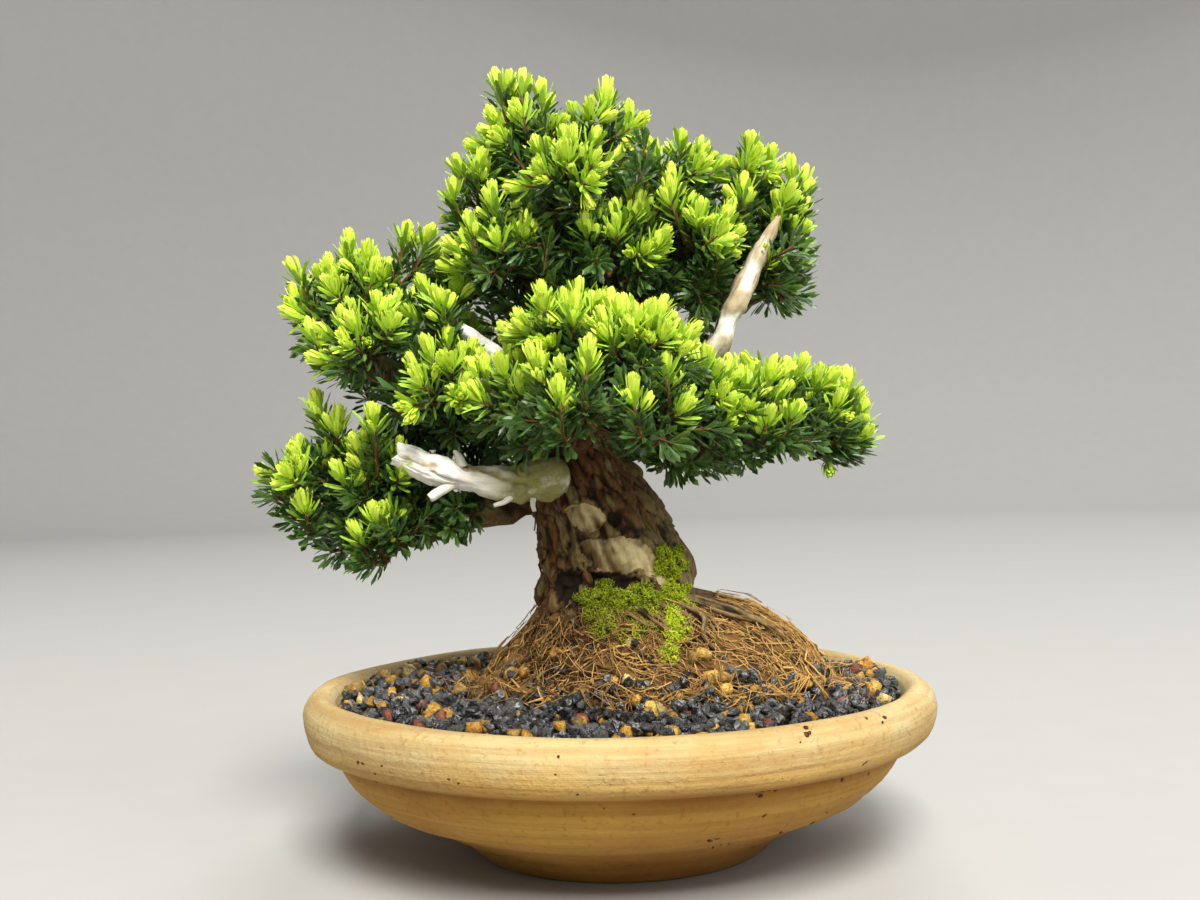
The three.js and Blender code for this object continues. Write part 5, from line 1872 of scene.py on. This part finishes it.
    def clear(self, starts: np.ndarray, tips: np.ndarray) -> np.ndarray:
        """Which shoots keep to the crown's outline and off the dead branches, and don't hide them.

        Args:
            starts: Where the shoots start.
            tips: Where they end.

        Returns:
            True for each shoot that is kept.
        """
        x, _, z = tips.T
        kept = (z > self.level(self.undersides, x)) & (z < self.level(self.skyline, x))
        kept &= ~((x > self.gap_side) & (z > self.gap[0]) & (z < self.gap[1]))
        kept &= (z > self.notch_levels[1]) | (z < self.level(self.notch, x))
        kept &= x < np.where(z < self.right_split, *self.right_ends)
        kept &= x > np.where(z > self.left_split, *self.left_ends)
        for branch in DeadBranches().branches[:3]:
            wood = smooth_path(branch.points, np.linspace(0, 1, 60))
            wood = wood[(wood[:, 2] > self.bare_wood[0]) | (wood[:, 1] < self.bare_wood[1])]
            for places in (tips, (tips + starts) / 2):
                gap = places[:, None] - wood[None, :, :3]
                near = np.linalg.norm(gap, axis=-1) < wood[:, 3] + self.berth
                hides = (np.hypot(gap[..., 0], gap[..., 2]) < wood[:, 3] + self.sight) & (gap[..., 1] < 1)
                kept &= ~(near | hides).any(1)
        return kept

    def brush(
        self, needles: NeedleSet, random: np.random.Generator, foot: np.ndarray, axis: np.ndarray,
        reach: np.ndarray, kind: Needles, youth: tuple[Shade, Shade], scale: Shade = 1.0,
    ) -> None:
        """Adds needles in a spiral along each of several stems.

        Args:
            needles: Where they go.
            random: The source of the draws.
            foot: Where each stem starts.
            axis: Each stem's direction.
            reach: Each stem's length.
            kind: How the needles grow.
            youth: Their youth at the foot and the tip of the stems.
            scale: The needles' size on each stem.
        """
        if not len(foot):
            return
        shape = (len(foot), kind.count)
        share = np.clip((np.arange(kind.count) + 0.5) / kind.count + random.normal(0, 0.02, shape), 0, 1)
        turn = random.uniform(0, 2 * np.pi, (len(foot), 1)) + np.arange(kind.count) * GOLDEN_ANGLE
        turn = turn + random.normal(0, 0.2, shape)
        side = unit(np.cross(axis, [0.31, 0.77, 0.55]))
        over = np.cross(axis, side)
        out = side[:, None] * np.cos(turn)[..., None] + over[:, None] * np.sin(turn)[..., None]
        angle = kind.angles[0] + (kind.angles[1] - kind.angles[0]) * share + random.normal(0, 4, shape)
        angle = np.radians(angle)
        lean = unit(out * np.sin(angle)[..., None] + axis[:, None] * np.cos(angle)[..., None])
        root = foot[:, None] + axis[:, None] * (share * reach[:, None])[..., None] + out * 0.25
        full = kind.lengths[0] + (kind.lengths[1] - kind.lengths[0]) * share
        length = full * random.uniform(1 - kind.uneven, 1 + kind.uneven, shape) * np.reshape(scale, (-1, 1))
        first, last = (np.broadcast_to(np.reshape(y, (-1, 1)), (len(foot), 1)) for y in youth)
        own = np.clip(first + (last - first) * share**1.5 + random.normal(0, 0.05, shape), 0, 1)
        needles.add(
            root.reshape(-1, 3),
            lean.reshape(-1, 3),
            np.broadcast_to(axis[:, None], root.shape).reshape(-1, 3) + 1e-3,
            length.ravel(),
            kind.width * random.uniform(0.85, 1.12, root[..., 0].size),
            random.normal(kind.curl, 0.05, root[..., 0].size),
            own.ravel(),
            random.uniform(0, 1, root[..., 0].size),
            kind in (Needles.OLD, Needles.YOUNG),
        )

    def dress(
        self, shells: tuple[Shell, Shell], random: np.random.Generator, start: np.ndarray, tip: np.ndarray,
        vigour: float = 1.0,
    ) -> None:
        """Adds the stems of shoots with their old needles and, in open air, their young brushes.

        Args:
            shells: Where needles and wood go.
            random: The source of the draws.
            start: Where each stem starts.
            tip: Where it ends.
            vigour: How many young brushes they bear, and how young their needles are: 0 for none.
        """
        needles = NeedleSet(shells[0])
        paths = start[:, None] + (tip - start)[:, None] * np.linspace(-0.05, 1.06, 3)[None, :, None]
        self.stems(shells[1], paths, (0.42, 0.34, 0.2), 3)
        aim = unit(tip - start)
        length = np.linalg.norm(tip - start, axis=1)
        light = self.open_air(tip)
        raised = tip[:, 2] > self.level(self.undersides, tip[:, 0]) + 8
        lively = raised & (aim[:, 2] > 0.55 - 0.8 * light) & (light > 0.3) | (vigour > 1)
        lively &= vigour > 0
        fresh = np.where(lively, 0.25 + 0.45 * light, 0.04) * min(vigour + 0.2, 1.0)
        for some, kind in ((lively, Needles.OLD), (~lively, Needles.INNER)):
            foot = start[some] + aim[some] * 0.8
            self.brush(needles, random, foot, aim[some], length[some] - 0.8, kind, (0.0, fresh[some]))
        dull = ~lively
        self.brush(needles, random, tip[dull], aim[dull], np.full(dull.sum(), 0.9), Needles.END, (0.02, 0.12))
        for tuft in self.tufts:
            odds = tuft.chance * (tuft.shade + 0.65 * light) * max(vigour, 1.0)
            grown = lively & (random.uniform(0, 1, len(tip)) < odds)
            own = unit(aim[grown] + random.normal(0, tuft.stray, (grown.sum(), 3)) + [0, 0, 0.3])
            size = random.uniform(0.8, 1.18, grown.sum()) * tuft.size
            foot = tip[grown] - aim[grown] * tuft.back + own * tuft.ahead
            age = 0.7 + 0.25 * light[grown]
            youth = age - 0.05, age + 0.12
            self.brush(needles, random, foot, own, 2.2 * size, Needles.YOUNG, youth, size)

    def spray(self, centre: np.ndarray, seed: int) -> tuple[Shell, Shell]:
        """Gathers one spray.

        Args:
            centre: Its middle, which moves up or down into the crown's outline.
            seed: The seed of its draws.

        Returns:
            Its needles and its wood.
        """
        random = np.random.default_rng(seed)
        x, y, z = centre
        above_gap = x > self.gap_side and z > self.gap[0]
        low = self.over_gap[1] if above_gap else self.level(self.undersides, x) + 3
        high = self.level(self.notch if z < self.notch_levels[0] else self.skyline, x) - 5
        centre = np.array([x, y, max(min(z, high), low)])
        foot = self.foot(centre)
        heart = np.array([*self.heart, min(centre[2] - 10, self.heart_top)])
        bias = unit(unit(centre - heart) + [0, 0, 0.6])
        aim = self.directions(random, bias)
        aside = aim - bias * (aim @ bias)[:, None]
        start = centre - bias * 1.5 + aside * random.uniform(1.6, 3.6, (self.shoots, 1))
        tip = start + aim * self.shoot_length * random.uniform(0.78, 1.12, (self.shoots, 1))
        kept = self.clear(start, tip)
        shells = Shell("leaf"), Shell("bark")
        share = np.linspace(0, 1, 7)[:, None]
        arch = np.sin(share * np.pi) * np.array([0, 0, -0.06]) * np.linalg.norm(centre - foot)
        twig = foot + (centre - foot) * share + arch
        self.stems(shells[1], twig[None], np.linspace(1.15, 0.7, 7), 6)
        paths = np.stack([np.broadcast_to(centre, start.shape), start, start + aim], 1)[kept]
        self.stems(shells[1], paths, (0.6, 0.5, 0.4), 3)
        self.dress(shells, random, start[kept], tip[kept])
        return shells

    def inner(self) -> tuple[Shell, Shell]:
        """Gathers the short shoots that stand along the limbs and the upper trunk."""
        random = np.random.default_rng(self.inner_seed)
        starts, tips = [], []
        for path in (TRUNK_PATH[6:], *LIMB_PATHS):
            length = sum(math.dist(a[:3], b[:3]) for a, b in zip(path, path[1:]))
            first = 0.0 if path[0][2] > 86 else 0.36
            stops = np.linspace(first, 1, max(3, int(length * (1 - first) / self.inner_step)))
            rod = one_rod(path, stops, self.inner_sides)
            rings = np.repeat(np.arange(rod.radii.shape[1]), self.inner_round)
            sides = random.integers(0, self.inner_sides, len(rings))
            start = rod.surface()[0, rings, sides]
            aim = rod.outward[0, rings, sides] + 0.5 * rod.tangents[0, rings]
            aim = unit(aim + random.normal(0, 0.3, start.shape))
            starts.append(start)
            tips.append(start + unit(aim + [0, 0, 0.3]) * random.uniform(5.0, 8.5, (len(rings), 1)))
        for low, high, count in self.thickets:
            start = random.uniform(low, high, (count, 3))
            starts.append(start)
            tips.append(start + unit(random.normal(0, 1, start.shape) + [0, -0.5, 0.1]) * 6.5)
        start, tip = np.concatenate(starts), np.concatenate(tips)
        bare = (np.minimum(tip[:, 2], start[:, 2]) < self.bare_trunk) & (np.abs(start[:, 0] + 9) < 13)
        kept = self.clear(start, tip) & ~bare
        shells = Shell("leaf"), Shell("bark")
        self.dress(shells, random, start[kept], tip[kept], 0.0)
        return shells

    def sprigs(self) -> tuple[Shell, Shell]:
        """Gathers the leaders, the sprigs that stand out of the crown with fans of young brushes."""
        random = np.random.default_rng(self.leader_seed)
        centres, top = self.centres(), np.asarray(self.leaders, float)
        away = np.linalg.norm(top[:, None] - [0, 0, 6] - centres[None], axis=-1)
        near = centres[np.argmin(away, axis=1)]
        aim = unit(0.6 * unit(top - near) + [0, 0, 0.75] + random.normal(0, 0.1, top.shape))
        top = top - aim * 3.4
        middle = top - aim * random.uniform(4.5, 6.0, (len(top), 1))
        start = middle - unit(aim + 0.6 * unit(middle - near)) * 4.5
        above_gap = (top[:, 0] > self.gap_side) & (top[:, 2] > self.gap[0])
        low = np.where(above_gap, self.over_gap[0], self.level(self.undersides, top[:, 0]))
        start[:, 2], middle[:, 2] = np.maximum(start[:, 2], low), np.maximum(middle[:, 2], low + 1)
        top[:, 2] = np.maximum(top[:, 2], middle[:, 2] + 0.3)
        shells = Shell("leaf"), Shell("bark")
        self.stems(shells[1], np.stack([near, start, middle, top], 1), self.leader_radii, 4)
        self.dress(shells, random, start, middle, 0.0)
        self.dress(shells, random, middle, top, 1.5)
        return shells

    def build(self) -> dict[str, list[bpy.types.Object]]:
        """Makes every spray and the inner shoots, as the name of each with its pieces."""
        skin, twig = NeedleSkin().material(), Bark().material()
        gathered = {"inner_shoots": self.inner(), "crown_sprigs": self.sprigs()}
        for region, centres in self.sprays.items():
            for k, centre in enumerate(centres):
                node = f"{region}_spray_{k + 1}"
                seed = sum(ord(letter) * (i + 3) for i, letter in enumerate(node))
                gathered[node] = self.spray(np.array(centre, float), seed)
        return {
            name: [leaves.make(f"{name}_needles", skin, False), wood.make(f"{name}_twigs", twig)]
            for name, (leaves, wood) in gathered.items()
        }


@dataclass
class Studio:
    """Camera, pale floor and soft lights."""

    place: Point = (0.0, -0.260, 0.072)
    yaw: float = math.radians(0.553)
    pitch: float = math.radians(1.28)
    roll: float = 0.025
    lens: float = 38.85
    film: float = 36.0
    floor_sides: int = 96
    lamps: Sequence[tuple[str, Point, float, float, Colour]] = (
        ("key", (0.2, -1.5, 1.75), 1.0, 106.0, (1.0, 0.98, 0.94)),
        ("fill", (1.7, -1.3, 1.1), 1.6, 20.0, (0.94, 0.97, 1.0)),
        ("back", (0.6, 1.9, 2.0), 1.6, 40.0, (1.0, 1.0, 1.0)),
    )
    lit: Point = (0.0, 0.0, 0.08)
    air: Colour = (0.86, 0.89, 0.93)
    air_strength: float = 0.26

    def camera(self) -> None:
        """Sets the camera, which leans a little clockwise."""
        level = math.cos(self.pitch)
        ahead = Vector((-math.sin(self.yaw) * level, math.cos(self.yaw) * level, math.sin(self.pitch)))
        right = ahead.cross(Vector((0, 0, 1))).normalized()
        above = right.cross(ahead)
        turned_right = right * math.cos(self.roll) - above * math.sin(self.roll)
        turned_up = right * math.sin(self.roll) + above * math.cos(self.roll)
        data = bpy.data.cameras.new("camera")
        data.lens = self.lens
        data.sensor_width = self.film
        data.clip_start = 0.01
        made = bpy.data.objects.new("camera", data)
        turn = Matrix((turned_right, turned_up, -ahead)).transposed().to_4x4()
        made.matrix_world = Matrix.Translation(self.place) @ turn
        bpy.context.scene.collection.objects.link(made)
        bpy.context.scene.camera = made

    def floor(self) -> bpy.types.Object:
        """Makes a round floor whose edge curves up on all sides."""
        bend = np.linspace(0, np.pi / 2, 16)
        flat = [(r, 0.0) for r in (400, 1200, 1900)]
        curve = [(2000 + 900 * math.sin(a), 900 - 900 * math.cos(a)) for a in bend]
        profile = np.array([*flat, *curve, (2900, 2400)], float)
        sides = self.floor_sides
        around = heading(spread_turns(sides))
        height = np.repeat(profile[:, None, 1:], sides, 1)
        corners = np.concatenate([around[None] * profile[:, None, :1], height], -1).reshape(-1, 3)
        quads, caps = ring_faces(len(profile), sides)
        corners = np.concatenate([corners, [[0.0, 0.0, 0.0], [0.0, 0.0, 0.0]]])
        shell = Shell("paper")
        shell.add(corners, [quads[:, ::-1], caps[:sides, ::-1]], np.ones_like(corners))
        return shell.make("floor", Paper().material())

    def light(self, name: str, place: Point, size: float, power: float, tint: Colour) -> None:
        """Adds a soft square light that faces the crown.

        Args:
            name: Its name.
            place: Where it stands.
            size: The length of its side.
            power: Its power in watts.
            tint: Its colour.
        """
        data = bpy.data.lights.new(name, "AREA")
        data.size = size
        data.energy = power
        data.color = tint
        made = bpy.data.objects.new(name, data)
        made.location = place
        aim = Vector(self.lit) - Vector(place)
        made.rotation_euler = aim.to_track_quat("-Z", "Y").to_euler()
        bpy.context.scene.collection.objects.link(made)

    def build(self) -> bpy.types.Object:
        """Sets up the studio, and returns its floor."""
        self.camera()
        for lamp in self.lamps:
            self.light(*lamp)
        world = bpy.data.worlds.new("studio")
        world.use_nodes = True
        sky = world.node_tree.nodes["Background"].inputs
        sky["Color"].default_value = (*self.air, 1.0)
        sky["Strength"].default_value = self.air_strength
        bpy.context.scene.world = world
        bpy.context.scene.view_settings.view_transform = "Standard"
        return self.floor()


def triangles(piece: bpy.types.Object) -> int:
    """How many triangles a piece has."""
    return sum(len(p.vertices) - 2 for p in piece.data.polygons)


def attach(piece: bpy.types.Object, slot: Slot, *nodes: str) -> None:
    """Puts a piece on the body and hides the nodes that it stands for.

    Args:
        piece: The piece.
        slot: Its material slot. Not used.
        nodes: The CAD nodes that it replaces.
    """
    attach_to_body(piece, BODY)
    if nodes:
        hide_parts(*nodes)
    LOG.info("%s: %d triangles", piece.name, triangles(piece))


def main() -> None:
    """Builds the bonsai on its frame."""
    logging.basicConfig(level=logging.INFO, format="%(message)s")
    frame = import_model()
    Studio().build()
    pot = Pot()
    clay = pot.build()
    attach(clay, Slot.POT, "pot")
    attach(pot.specks(clay), Slot.POT)
    net = NetPlastic().material()
    for name in ("drain_net_left", "drain_net_right"):
        frame["nodes"][name].data.materials.clear()
        frame["nodes"][name].data.materials.append(net)
    mound = Mound()
    gravel = Gravel(mound)
    attach(gravel.bed(), Slot.GRAVEL, "gravel")
    for piece in gravel.grains():
        attach(piece, Slot.GRAVEL)
    peat = mound.build()
    attach(peat, Slot.ROOTS, "root_ball")
    attach(FineRoots(mound, gravel).build(), Slot.ROOTS)
    trunk = Trunk().build()
    attach(trunk, Slot.WOOD, "trunk")
    attach(WoodyRoots(mound).build(), Slot.WOOD)
    attach(DeadBranches().build(), Slot.WOOD)
    attach(MossPatch().build((peat, trunk)), Slot.FOLIAGE)
    for name, (needles, twigs) in Crown().build().items():
        attach(needles, Slot.FOLIAGE, *([name] if name in frame["nodes"] else []))
        attach(twigs, Slot.WOOD)
    pieces = [piece for piece in bpy.data.objects if piece.type == "MESH"]
    LOG.info("in all: %d triangles", sum(triangles(piece) for piece in pieces))


if __name__ == "__main__":
    main()
